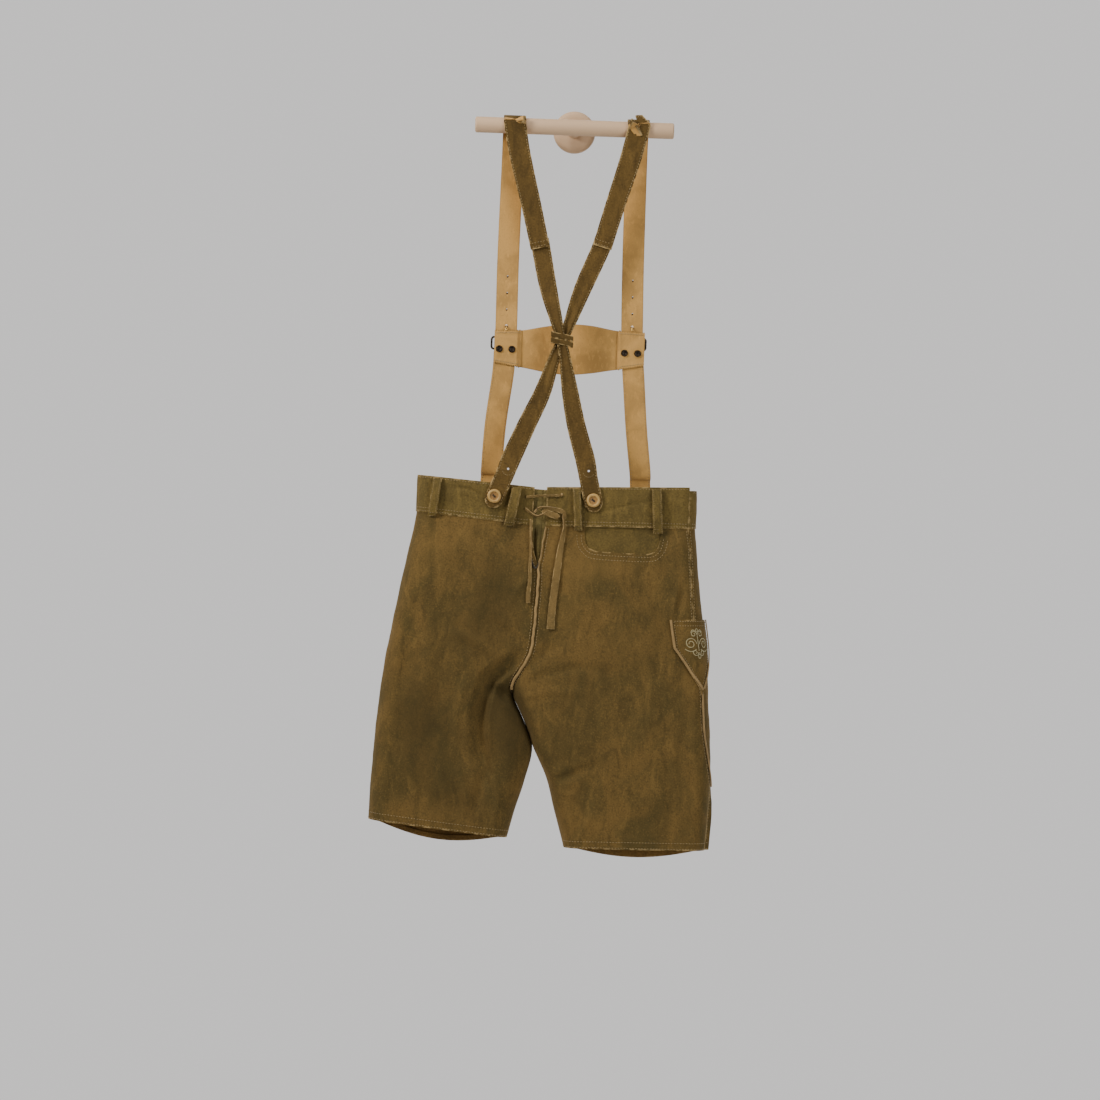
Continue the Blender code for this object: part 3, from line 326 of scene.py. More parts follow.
class Half:
    """One half of the garment: the tube of its leg and its half of the seat."""

    OUTER_END = 0.25
    INNER_START = 0.75

    def __init__(self, rows):
        self.rows = rows
        self.inward = 1 if rows[0].outer_x < 0 else -1

    def row(self, level):
        """Between the vent and the crotch, both halves end on one seam: the left one's."""
        row = smooth_row(self.rows, level)
        seam = smooth_row(LEFT_ROWS, level)
        shared = (level >= VENT_END_LEVEL) & (level <= CROTCH_LEVEL)
        return row._replace(
            inner_x=np.where(shared, seam.inner_x, row.inner_x),
            inner_z=np.where(shared, seam.inner_z, row.inner_z),
            front_x=np.where(shared, seam.front_x, row.front_x),
            closed=np.clip(np.where(shared, seam.closed, row.closed), 0, 1),
            flare=np.maximum(row.flare, 0),
        )

    def at(self, level, turn):
        """Points of the cloth's outside. turn is 1 at the back's inner seam, 0 at the outline, -1 at the
        front's inner seam."""
        level, turn = np.broadcast_arrays(np.asarray(level, float), np.asarray(turn, float))
        row = self.row(level)
        back = turn >= 0
        inner_x = np.where(back, row.inner_x, row.front_x)
        outer_x = row.outer_x - np.where(back, 0, row.flare * self.inward)
        width = np.abs(inner_x - outer_x)
        share = np.abs(turn)
        places = (share < self.OUTER_END, share > self.INNER_START)
        outer_angle = np.pi / 2 * np.minimum(share / self.OUTER_END, 1)
        inner_angle = np.pi / 2 * np.minimum((1 - share) / (1 - self.INNER_START), 1)
        left = 1 - np.cos(inner_angle)
        flat = (share - self.OUTER_END) / (self.INNER_START - self.OUTER_END)
        inset = np.select(
            places,
            (OUTER_ROUND * (1 - np.cos(outer_angle)), width - row.inner_round * left),
            mixed(OUTER_ROUND, width - row.inner_round, flat),
        )
        shallow = 1 - (1 - left) ** 2
        around = 1 - row.closed * (1 - mixed(shallow, np.sin(inner_angle), row.closed**2))
        off = np.select(places, (np.sin(outer_angle), around), 1.0)
        across = inset / width
        x = outer_x + self.inward * inset
        z = mixed(row.outer_z, row.inner_z, across)
        z = z - np.where(back, 0, row.front_dip * np.sin(np.pi * across))
        edge = np.minimum(1, np.minimum(8 * across, 12 * (1 - across)))
        fold = np.where(back, fold_height(BACK_FOLDS, x, z), fold_height(FRONT_FOLDS, x, z)) * edge
        stand = np.where(back, row.back, row.front) * off + CROWN * np.sin(np.pi * across) ** 2 + fold
        return np.stack((x, MIDDLE_Y + np.where(back, -stand, stand), z), -1)

    def seam_turn(self, level):
        """Where the side seam is on the section."""
        seam_in = self.row(level).seam_in
        angle = np.arccos(1 - np.abs(seam_in) / OUTER_ROUND)
        return np.copysign(self.OUTER_END * angle / (np.pi / 2), seam_in)

    def beside_seam(self, level, reach):
        """Points at distances round the section from the side seam, towards the back if positive."""
        turn = np.linspace(-0.6, 0.6, 481)
        found = np.empty(np.shape(reach) + (3,))
        for k, one_level in enumerate(level):
            ring = self.at(one_level, turn)
            far = np.append(0, np.cumsum(np.linalg.norm(np.diff(ring, axis=0), axis=1)))
            seam = np.interp(self.seam_turn(np.array(one_level)), turn, far)
            for axis in range(3):
                found[k, ..., axis] = np.interp(seam + reach[k], far, ring[:, axis])
        return found


LEFT, RIGHT = Half(LEFT_ROWS), Half(RIGHT_ROWS)


# ---------------------------------------------------------------------------- sheets of leather


def unit(vectors):
    return vectors / np.maximum(np.linalg.norm(vectors, axis=-1, keepdims=True), 1e-9)


def ripple(points, size, height, seed=0.0):
    """Gentle unevenness, as high as height, in lumps of about size."""
    flat = points.reshape(-1, 3) / size + seed
    values = [noise.noise(Vector(place)) for place in flat]
    return height * np.array(values).reshape(points.shape[:-1])


class Sheet:
    """The outer face of a piece of leather as a grid of points, with the way out of it at each."""

    def __init__(self, points, towards, outs=None):
        self.points = points
        if outs is None:
            normals = np.cross(np.gradient(points, axis=0), np.gradient(points, axis=1))
            outs = unit(normals)
            if (outs * np.array(towards, float)).sum() < 0:
                outs = -outs
        self.outs = outs
        self.down = self.lengths(0)
        self.across = self.lengths(1)

    def lengths(self, axis):
        steps = np.linalg.norm(np.diff(self.points, axis=axis), axis=-1)
        start = np.zeros_like(np.take(steps, [0], axis=axis))
        return np.cumsum(np.concatenate((start, steps), axis=axis), axis=axis)

    def edge_distance(self):
        far_down = self.down[-1:] - self.down
        far_across = self.across[:, -1:] - self.across
        return np.minimum.reduce((self.down, far_down, self.across, far_across))

    def moved(self, heights):
        return Sheet(self.points + self.outs * np.asarray(heights)[..., None], None, self.outs)

    def area(self):
        a = self.points[1:, 1:] - self.points[:-1, :-1]
        b = self.points[1:, :-1] - self.points[:-1, 1:]
        return np.linalg.norm(np.cross(a, b), axis=-1).sum() / 2

    def run(self, side, inset, start=0.0, end=0.0):
        """Points and outs at a distance inside one side, without a length at each end."""
        if side in ("top", "bottom"):
            lengths, points, outs = self.down.T, self.points.swapaxes(0, 1), self.outs.swapaxes(0, 1)
        else:
            lengths, points, outs = self.across, self.points, self.outs
        found = []
        for line, places, ways in zip(lengths, points, outs):
            at = inset if side in ("top", "left") else line[-1] - inset
            values = np.concatenate((places, ways), axis=1)
            found.append([np.interp(at, line, values[:, k]) for k in range(6)])
        found = np.array(found)
        far = np.append(0, np.cumsum(np.linalg.norm(np.diff(found[:, :3], axis=0), axis=1)))
        kept = (far >= start) & (far <= far[-1] - end)
        return found[kept, :3], found[kept, 3:]

    def tree(self):
        rows, columns = self.points.shape[:2]
        index = np.arange(rows * columns).reshape(rows, columns)
        corners = (index[:-1, :-1], index[1:, :-1], index[1:, 1:], index[:-1, 1:])
        quads = np.stack(corners, -1).reshape(-1, 4)
        return BVHTree.FromPolygons(self.points.reshape(-1, 3).tolist(), quads.tolist())


class Skin:
    """The outer faces of several sheets, met along Y from the room or from the wall."""

    def __init__(self, from_room):
        self.out_y = -1 if from_room else 1
        self.trees = []

    def add(self, sheet):
        self.trees.append(sheet.tree())

    def depth(self, x, z, reach=0.6):
        """The outermost y at x and at x plus and minus reach. It looks past the gap of a seam."""
        start = 300.0 * self.out_y + MIDDLE_Y
        met = []
        for tree in self.trees:
            for right, up in ((-reach, 0), (0, 0), (reach, 0), (0, GAP), (0, -GAP)):
                hit = tree.ray_cast(Vector((x + right, start, z + up)), Vector((0, -self.out_y, 0)))[0]
                if hit is not None:
                    met.append(hit.y)
        if not met:
            raise ValueError(f"no cloth at x {x:.0f}, z {z:.0f}")
        return min(met) if self.out_y < 0 else max(met)

    def laid(self, x, z, reach=0.6):
        """The depth for arrays of x and z."""
        flat = [self.depth(a, b, reach) for a, b in zip(np.ravel(x), np.ravel(z))]
        return np.array(flat).reshape(np.shape(x))

    def follow(self, path, steps):
        """A run of points and outs on the cloth, along a path in X and Z."""
        spots = smooth_path(path, steps)
        y = self.laid(spots[:, 0], spots[:, 1], 0.0)
        points = np.stack((spots[:, 0], y, spots[:, 1]), -1)
        return points, np.tile((0.0, self.out_y, 0.0), (len(points), 1))


BACK, FRONT = Skin(True), Skin(False)

# Soft blobs of tone on the panels' backs: place, radius across and down, and how much lighter or, if
# negative, darker and greener.
Blob = namedtuple("Blob", "x z across down tone")
BLOBS = (
    Blob(-92, -712, 46, 92, -0.6),
    Blob(-150, -765, 42, 60, -0.4),
    Blob(-66, -905, 34, 56, -1.1),
    Blob(-84, -862, 26, 30, -0.7),
    Blob(-190, -650, 34, 44, 0.35),
    Blob(-130, -628, 60, 18, 0.3),
    Blob(-215, -900, 34, 90, -0.6),
    Blob(-172, -900, 40, 70, -0.5),
    Blob(-158, -1005, 50, 50, -0.5),
    Blob(-100, -1030, 30, 40, -0.3),
    Blob(20, -720, 40, 60, 0.35),
    Blob(60, -660, 70, 22, 0.5),
    Blob(90, -790, 46, 60, -0.35),
    Blob(40, -850, 40, 46, -0.3),
    Blob(150, -740, 30, 60, -0.25),
    Blob(120, -900, 60, 60, 0.2),
    Blob(20, -930, 30, 60, -0.35),
    Blob(190, -930, 26, 90, -0.3),
    Blob(150, -1030, 40, 34, -0.35),
    Blob(60, -1040, 60, 30, 0.3),
    Blob(190, -640, 20, 60, 0.2),
    Blob(-10, -640, 16, 40, 0.4),
)


def tone_at(points):
    tone = np.zeros(points.shape[:-1])
    for blob in BLOBS:
        far = ((points[..., 0] - blob.x) / blob.across) ** 2 + ((points[..., 2] - blob.z) / blob.down) ** 2
        tone += blob.tone * np.exp(-far)
    return tone


def finished(mesh, name, looks, slot, *nodes):
    """Puts a bmesh in the scene as a named piece that rides with the garment and stands for CAD nodes."""
    bmesh.ops.scale(mesh, vec=(MM, MM, MM), verts=mesh.verts)
    data = bpy.data.meshes.new(name)
    mesh.to_mesh(data)
    mesh.free()
    data.shade_smooth()
    for look in looks:
        data.materials.append(bpy.data.materials[look])
    piece = bpy.data.objects.new(name, data)
    bpy.context.scene.collection.objects.link(piece)
    return placed(piece, slot, *nodes)


def placed(piece, slot, *nodes):
    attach(piece, "root")
    if nodes:
        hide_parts(*nodes)
    return piece


def softened(piece, width=0.5, segments=2, angle=50):
    """Rounds a piece's cut edges."""
    bevel = piece.modifiers.new("rounded edges", "BEVEL")
    bevel.width = width * MM
    bevel.segments = segments
    bevel.limit_method = "ANGLE"
    bevel.angle_limit = math.radians(angle)
    return piece


def leather(name, sheet, thickness, looks, slot, *nodes, edge=0.5, wear=3.0):
    """A piece of leather from the grid of its outer face. looks: its outside, its inside and its cut edge."""
    rows, columns = sheet.points.shape[:2]
    mesh = bmesh.new()
    bmesh.ops.create_grid(mesh, x_segments=columns - 1, y_segments=rows - 1, size=1)
    mesh.verts.ensure_lookup_table()
    cell = mesh.verts.layers.int.new("cell")
    tone = mesh.verts.layers.float.new("tone")
    worn = mesh.verts.layers.float.new("wear")
    places = sheet.points.reshape(-1, 3)
    inside = places - (sheet.outs * np.broadcast_to(thickness, (rows, columns))[..., None]).reshape(-1, 3)
    tones = tone_at(sheet.points).ravel()
    wears = np.exp(-((sheet.edge_distance() / wear) ** 2)).ravel()
    for k, vertex in enumerate(mesh.verts):
        vertex.co = places[k]
        vertex[cell] = k
        vertex[tone] = tones[k]
        vertex[worn] = wears[k]
    outer = mesh.faces[:]
    extruded = bmesh.ops.extrude_face_region(mesh, geom=outer)["geom"]
    for face in mesh.faces:
        face.material_index = 2
    for face in outer:
        face.material_index = 0
    for part in extruded:
        if isinstance(part, bmesh.types.BMFace):
            part.material_index = 1
        elif isinstance(part, bmesh.types.BMVert):
            part.co = inside[part[cell]]
    bmesh.ops.recalc_face_normals(mesh, faces=mesh.faces)
    mesh.verts.layers.int.remove(cell)
    piece = finished(mesh, name, looks, slot, *nodes)
    return softened(piece, edge) if edge else piece


def declared(sheet):
    """Works out the size that a sheet was cut to: its greatest width and length, and its area; it keeps none
    of them.
    """
    width, length = sheet.across[:, -1].max() * MM, sheet.down[-1].max() * MM
    area = min(sheet.area() * MM * MM, width * length)


# ---------------------------------------------------------------------------- sewing

rng = np.random.default_rng(7)


def stitch_line(mesh, run, length=None, gap=None, radius=None, lift=0.15):
    """Adds a row of stitches along a run of points and outs."""
    length = length or sizes().stitch / MM
    gap = gap if gap is not None else sizes().stitch_gap / MM
    radius = radius or sizes().thread / MM
    points, outs = run
    far = np.append(0, np.cumsum(np.linalg.norm(np.diff(points, axis=0), axis=1)))
    values = np.concatenate((points, outs), axis=1)

    def spot(at):
        found = np.array([np.interp(at, far, values[:, k]) for k in range(6)])
        return found[:3], unit(found[3:])

    for k in range(int((far[-1] + gap) / (length + gap))):
        start = k * (length + gap)
        a, out = spot(start)
        b, _ = spot(start + length)
        along = b - a
        if not np.linalg.norm(along) > 0.1:
            continue
        side = unit(np.cross(out, along))
        along = unit(along + side * np.linalg.norm(along) * rng.uniform(-0.05, 0.05))
        side = unit(np.cross(out, along))
        half = length / 2 * rng.uniform(0.92, 1.04)
        middle = (a + b) / 2 + out * lift
        matrix = Matrix.Identity(4)
        for axis, column in enumerate((along * half, side * radius, out * radius)):
            matrix[0][axis], matrix[1][axis], matrix[2][axis] = column
        matrix.translation = Vector(middle)
        bmesh.ops.create_icosphere(mesh, subdivisions=1, radius=1, matrix=matrix)


def sewn(name, runs, **how):
    """One piece that holds the stitches of several runs."""
    mesh = bmesh.new()
    for run in runs:
        if len(run[0]) > 1:
            stitch_line(mesh, run, **how)
    finished(mesh, name, ("thread",), "beige_leather")


# ---------------------------------------------------------------------------- looks


class Look:
    """A material in the making."""

    def __init__(self, name, roughness, **shader):
        self.material = bpy.data.materials.new(name)
        self.material.use_nodes = True
        self.tree = self.material.node_tree
        self.shader = self.tree.nodes["Principled BSDF"]
        self.shader.inputs["Roughness"].default_value = roughness
        for socket, value in shader.items():
            self.shader.inputs[socket.replace("_", " ")].default_value = value
        self.coordinates = self.tree.nodes.new("ShaderNodeTexCoord").outputs["Object"]

    def put(self, socket, value):
        if isinstance(value, bpy.types.NodeSocket):
            self.tree.links.new(value, socket)
        else:
            socket.default_value = value

    def noise(self, scale, detail=2.0, stretch=(1, 1, 1), distortion=0.0, roughness=0.55):
        mapping = self.tree.nodes.new("ShaderNodeMapping")
        mapping.inputs["Scale"].default_value = stretch
        self.put(mapping.inputs["Vector"], self.coordinates)
        made = self.tree.nodes.new("ShaderNodeTexNoise")
        self.put(made.inputs["Vector"], mapping.outputs["Vector"])
        made.inputs["Scale"].default_value = scale
        made.inputs["Detail"].default_value = detail
        made.inputs["Roughness"].default_value = roughness
        made.inputs["Distortion"].default_value = distortion
        return made.outputs["Fac"]

    def range(self, value, low, high, to_low=0.0, to_high=1.0):
        made = self.tree.nodes.new("ShaderNodeMapRange")
        made.interpolation_type = "SMOOTHSTEP"
        self.put(made.inputs["Value"], value)
        for socket, number in (("From Min", low), ("From Max", high), ("To Min", to_low),
                               ("To Max", to_high)):
            made.inputs[socket].default_value = number
        return made.outputs["Result"]

    def mix(self, a, b, factor):
        made = self.tree.nodes.new("ShaderNodeMix")
        made.data_type = "RGBA"
        self.put(made.inputs[0], factor)
        for socket, colour in ((made.inputs[6], a), (made.inputs[7], b)):
            self.put(socket, colour if isinstance(colour, bpy.types.NodeSocket) else (*colour, 1))
        return made.outputs[2]

    def attribute(self, name):
        made = self.tree.nodes.new("ShaderNodeAttribute")
        made.attribute_name = name
        return made.outputs["Fac"]

    def combine(self, a, b, operation="ADD"):
        made = self.tree.nodes.new("ShaderNodeMath")
        made.operation = operation
        self.put(made.inputs[0], a)
        self.put(made.inputs[1], b)
        return made.outputs[0]

    def bump(self, height, distance, strength=1.0):
        made = self.tree.nodes.new("ShaderNodeBump")
        made.inputs["Strength"].default_value = strength
        made.inputs["Distance"].default_value = distance
        self.put(made.inputs["Height"], height)
        self.put(self.shader.inputs["Normal"], made.outputs["Normal"])

    def colour(self, value):
        self.put(self.shader.inputs["Base Color"], value)


def darker(colour, by):
    return tuple(value * by for value in colour)


def suede_look(name, main, dark, worn, cloud=17.0, mottle=0.5, nap=1.0, rubbed=0.55):
    """Napped leather: clouds of two colours, mottling, a fine nap, stains and worn edges."""
    look = Look(name, 0.92, Sheen_Weight=0.22, Sheen_Roughness=0.45, Specular_IOR_Level=0.18)
    look.shader.inputs["Sheen Tint"].default_value = (*worn, 1)
    clouds = look.range(look.noise(cloud, 5, (1, 1, 0.7), 0.9), 0.32, 0.72)
    colour = look.mix(main, dark, clouds)
    brushed = look.noise(58, 6, (1, 1, 0.36), 1.0, 0.62)
    colour = look.mix(colour, darker(main, 1.5), look.range(brushed, 0.5, 0.74, 0, mottle))
    colour = look.mix(colour, darker(dark, 0.6), look.range(brushed, 0.5, 0.28, 0, mottle))
    fine = look.noise(420, 3)
    colour = look.mix(colour, darker(dark, 0.55), look.range(fine, 0.5, 0.3, 0, 0.5 * nap))
    colour = look.mix(colour, darker(main, 1.6), look.range(fine, 0.54, 0.72, 0, 0.4 * nap))
    tone = look.attribute("tone")
    colour = look.mix(colour, darker(dark, 0.6), look.range(tone, 0, -1.0, 0, 0.7))
    colour = look.mix(colour, darker(main, 1.35), look.range(tone, 0, 1.0, 0, 0.7))
    rub = look.combine(look.attribute("wear"), look.range(look.noise(120, 3), 0.35, 0.62), "MULTIPLY")
    colour = look.mix(colour, worn, look.range(rub, 0.25, 1.0, 0, rubbed))
    look.colour(colour)
    height = look.combine(look.noise(1100, 2), look.combine(look.noise(160, 3), 1.6, "MULTIPLY"))
    look.bump(height, 0.00035 * nap, 0.55)


def flesh_look(name, main, fibre):
    """The tan flesh side: soft blotches and short fibres."""
    look = Look(name, 0.88, Sheen_Weight=0.15, Sheen_Roughness=0.5, Specular_IOR_Level=0.2)
    colour = look.mix(main, darker(main, 0.74), look.range(look.noise(24, 4, distortion=0.5), 0.4, 0.66))
    colour = look.mix(colour, fibre, look.range(look.noise(260, 4, (1, 1, 0.4)), 0.52, 0.72, 0, 0.6))
    colour = look.mix(colour, darker(main, 0.6), look.range(look.noise(520, 3), 0.46, 0.28, 0, 0.5))
    rub = look.range(look.attribute("wear"), 0.3, 1.0, 0, 0.45)
    look.colour(look.mix(colour, darker(main, 0.62), rub))
    look.bump(look.noise(900, 4), 0.0003, 0.5)


def thread_look(name, colour):
    look = Look(name, 0.75, Sheen_Weight=0.3, Specular_IOR_Level=0.25)
    look.colour(look.mix(colour, darker(colour, 0.6), look.range(look.noise(900, 2), 0.4, 0.65)))
    look.bump(look.noise(2600, 1), 0.0001, 0.6)


def horn_look(name, colour, dark):
    look = Look(name, 0.5, Specular_IOR_Level=0.4, Coat_Weight=0.1, Coat_Roughness=0.3)
    streaks = look.noise(210, 4, (1, 1, 0.25), 1.4)
    made = look.mix(colour, dark, look.range(streaks, 0.5, 0.72, 0, 0.8))
    made = look.mix(made, darker(colour, 1.15), look.range(look.noise(90, 2), 0.5, 0.7, 0, 0.5))
    look.colour(made)
    look.bump(look.noise(1500, 3), 0.00008, 0.5)


def metal_look(name, colour, tarnish, roughness):
    look = Look(name, roughness, Metallic=1.0)
    spots = look.range(look.noise(420, 4, distortion=0.5), 0.42, 0.62)
    look.colour(look.mix(colour, tarnish, spots))
    look.put(look.shader.inputs["Roughness"],
             look.range(look.noise(700, 3), 0.3, 0.7, roughness, roughness + 0.2))
    look.bump(look.noise(1700, 3), 0.00005, 0.5)


def wood_look(name, colour):
    """Beech: long fibres along X, with short dark flecks."""
    look = Look(name, 0.45, Specular_IOR_Level=0.4, Coat_Weight=0.15, Coat_Roughness=0.35)
    fibres = look.noise(60, 5, (0.08, 1, 1), 0.7)
    made = look.mix(colour, darker(colour, 0.72), look.range(fibres, 0.4, 0.68))
    flecks = look.noise(900, 2, (0.12, 1, 1))
    made = look.mix(made, darker(colour, 0.45), look.range(flecks, 0.62, 0.74, 0, 0.6))
    look.colour(made)
    look.bump(look.noise(700, 3, (0.1, 1, 1)), 0.0001, 0.4)


SUEDE = ("panel suede", "suede flesh", "cut edge")
BAND = ("waistband suede", "suede flesh", "cut edge")
FACING = ("facing suede", "suede flesh", "cut edge")
GUSSET = ("gusset suede", "suede flesh", "cut edge")
BRACE = ("brace suede", "flesh side", "brace edge")
BRACE_TURNED = ("flesh side", "brace suede", "brace edge")
FLESH = ("flesh side", "flesh side", "brace edge")
BEIGE = ("beige leather", "beige leather", "beige leather")


def make_looks():
    tints = colours()
    main, dark = tuple(tints.suede), tuple(tints.suede_dark)
    band, strap, flesh = tuple(tints.band), tuple(tints.strap), tuple(tints.flesh)
    raw = srgb(176, 148, 98)
    suede_look("panel suede", main, dark, raw)
    suede_look("waistband suede", band, darker(dark, 1.25), raw, cloud=24, mottle=0.6)
    suede_look("facing suede", darker(band, 0.88), darker(dark, 1.1), raw, cloud=30, mottle=0.35)
    suede_look("gusset suede", srgb(108, 92, 50), srgb(90, 78, 44), raw, cloud=40, mottle=0.4)
    suede_look("brace suede", strap, darker(strap, 0.7), raw, cloud=30, mottle=0.6, rubbed=0.85)
    suede_look("lace leather", srgb(112, 89, 50), srgb(98, 80, 46), raw, cloud=60, mottle=0.4, rubbed=0.9)
    suede_look("suede flesh", darker(flesh, 0.42), darker(flesh, 0.28), raw, mottle=0.4)
    suede_look("cut edge", raw, darker(raw, 0.6), raw, cloud=60)
    suede_look("brace edge", darker(raw, 0.9), darker(strap, 0.8), raw, cloud=70)
    flesh_look("flesh side", flesh, darker(flesh, 1.2))
    # The holes' walls: the flesh colour at 0.16 of its value, painted shade that makes the small holes look
    # dark.
    flesh_look("hole wall", darker(flesh, 0.16), darker(flesh, 0.3))
    flesh_look("beige leather", tuple(tints.beige), darker(tuple(tints.beige), 1.2))
    thread_look("thread", tuple(tints.thread))
    thread_look("dark thread", darker(tuple(tints.thread), 0.12))
    thread_look("embroidery thread", tuple(tints.embroidery))
    horn_look("horn", tuple(tints.bone), tuple(tints.bone_core))
    horn_look("horn core", tuple(tints.bone_core), darker(tuple(tints.bone_core), 0.5))
    metal_look("dark metal", tuple(tints.metal), darker(tuple(tints.metal), 0.35), 0.38)
    metal_look("brass", tuple(tints.brass), darker(tuple(tints.brass), 0.55), 0.28)
    wood_look("beech", tuple(tints.beech))


# ---------------------------------------------------------------------------- panels and waistband

# The back pocket's mouth: a scoop in the right back panel's top edge.
SCOOP = ((35.5, -590), (36, -612), (37.5, -624), (43, -632.5), (54, -637), (95, -638.5), (132, -638.5),
         (142, -635),
         (147.5, -627), (150, -613), (151, -590))
# Where the scoop's two sides are across the panel, and the way to its middle. The columns are close there.
SCOOP_SIDES = ((0.3294, 1), (0.6647, -1))


def stretch_columns(outer, flat, inner):
    """Columns from the side seam to the inner seam, so many over the side, the flat and the inner edge."""
    return np.concatenate(
        (
            np.linspace(0, Half.OUTER_END, outer, endpoint=False),
            np.linspace(Half.OUTER_END, Half.INNER_START, flat, endpoint=False),
            np.linspace(Half.INNER_START, 1, inner),
        )
    )


def scoop_level(half, across):
    """How far down each column starts, where the pocket's mouth cuts it."""
    levels = np.linspace(0, VENT_END_LEVEL, 60)[:, None]
    places = half.at(levels, across[None, :])
    outline = np.array(SCOOP, float)
    start = np.zeros(len(across))
    for k in range(len(across)):
        x, z = places[:, k, 0], places[:, k, 2]
        if outline[0, 0] < x[5] < outline[-1, 0]:
            edge = np.interp(x, outline[:, 0], outline[:, 1])
            start[k] = np.interp(0, z[::-1] - edge[::-1], levels[::-1, 0])
    return start


# How deep a panel's edge rolls in at a seam, and how wide that roll is.
SEAM_ROLL, SEAM_ROLL_WIDTH = 0.9, 3.2


def panel_sheet(half, back, across, levels, start=None):
    """A panel's outer face, its rows from the waist down and its columns from the side seam inwards."""
    start = np.zeros(len(across)) if start is None else start
    level = start[None, :] + (1 - start[None, :]) * levels[:, None]
    gap = GAP / 2 if back else -GAP / 2 - SLIT_SPREAD * half.row(level).flare
    edge = half.seam_turn(level) + gap / (OUTER_ROUND * math.pi / 2) * Half.OUTER_END
    sign = 1 if back else -1
    round_side = mixed(edge, sign * Half.OUTER_END, across / Half.OUTER_END)
    turn = np.where(across < Half.OUTER_END, round_side, sign * across)
    points = half.at(level, turn)
    near_seam = np.clip((across - Half.INNER_START) / (1 - Half.INNER_START), 0, 1)
    closed = level[:, -1] >= CROTCH_LEVEL
    points[..., 0] -= half.inward * GAP / 2 * near_seam * ~closed[:, None]
    points[closed, -1, 1] -= sign * GAP / 2
    sheet = Sheet(points, (0, -sign, 0))
    far = sheet.across
    # Below the crotch the inseams keep their height, because the legs lie against each other there.
    inner_roll = np.exp(-(((far[:, -1:] - far) / SEAM_ROLL_WIDTH) ** 2)) * ~closed[:, None]
    seams = np.exp(-((far / SEAM_ROLL_WIDTH) ** 2)) + inner_roll
    uneven = ripple(points, 34, 0.9) + ripple(points, 11, 0.3, 5.0)
    calm = np.clip(np.minimum(far, far[:, -1:] - far) / 6, 0, 1)
    sheet = sheet.moved(uneven * calm - SEAM_ROLL * seams)
    sheet.outs[closed, -1] = (half.inward, 0, 0)
    share = half.row(level[:, -1]).closed[:, None]
    seat = unit(mixed(np.array((0.0, -sign, 0.0)), sheet.outs[:, -1], share))
    sheet.outs[~closed, -1] = seat[~closed]
    return sheet


def panel_depth(levels, columns):
    panel, hem = sizes().panel / MM, sizes().hem / MM
    depth = mixed(panel, hem, eased((levels - HEM_TURN_LEVEL) / 0.004))
    return np.repeat(depth[:, None], columns, axis=1)


LEVELS = np.concatenate(
    (
        np.linspace(0, 0.03, 9, endpoint=False),
        np.linspace(0.03, 0.95, 150, endpoint=False),
        np.linspace(0.95, 1, 26),
    )
)
SHEETS = {}


def make_panels():
    """The two backs and the two fronts."""
    fine, coarse = stretch_columns(20, 84, 24), stretch_columns(16, 60, 18)
    dense = np.concatenate([side + np.linspace(-0.012, 0.03, 15) * sign for side, sign in SCOOP_SIDES])
    pocketed = np.union1d(np.round(fine, 5), np.round(dense, 5))
    for name, half, back, across in (
        ("back_left", LEFT, True, fine),
        ("back_right", RIGHT, True, pocketed),
        ("front_left", LEFT, False, coarse),
        ("front_right", RIGHT, False, coarse),
    ):
        start = scoop_level(half, across) if name == "back_right" else None
        sheet = panel_sheet(half, back, across, LEVELS, start)
        whole = panel_sheet(half, back, coarse, LEVELS)
        (BACK if back else FRONT).add(whole)
        SHEETS[name] = sheet
        depth = panel_depth(LEVELS, len(across))
        piece = leather(f"{name}_leg", sheet, depth, SUEDE, "suede", f"{name}_panel", wear=2.2)
        declared(whole)


def make_waistband():
    """Four pieces that stand a little proud of the panels."""
    across = stretch_columns(12, 60, 12)
    for name, half, back in (
        ("back_left", LEFT, True),
        ("back_right", RIGHT, True),
        ("front_left", LEFT, False),
        ("front_right", RIGHT, False),
    ):
        top = BAND_TOP_LEVEL if back else BAND_TOP_LEVEL + 0.01
        levels = np.linspace(top, BAND_BOTTOM_LEVEL, 30)
        sheet = panel_sheet(half, back, across, levels)
        v = np.linspace(0, 1, 30)[:, None]
        sheet = sheet.moved(BAND_PROUD + 0.5 * np.sin(np.pi * v) + ripple(sheet.points, 16, 0.5, 9.0))
        (BACK if back else FRONT).add(sheet)
        SHEETS["band_" + name] = sheet
        band = sizes().band / MM
        piece = leather(f"band_{name}", sheet, band, BAND, "waistband_suede", f"waistband_{name}", edge=0.8,
                        wear=2.6)
        declared(sheet)


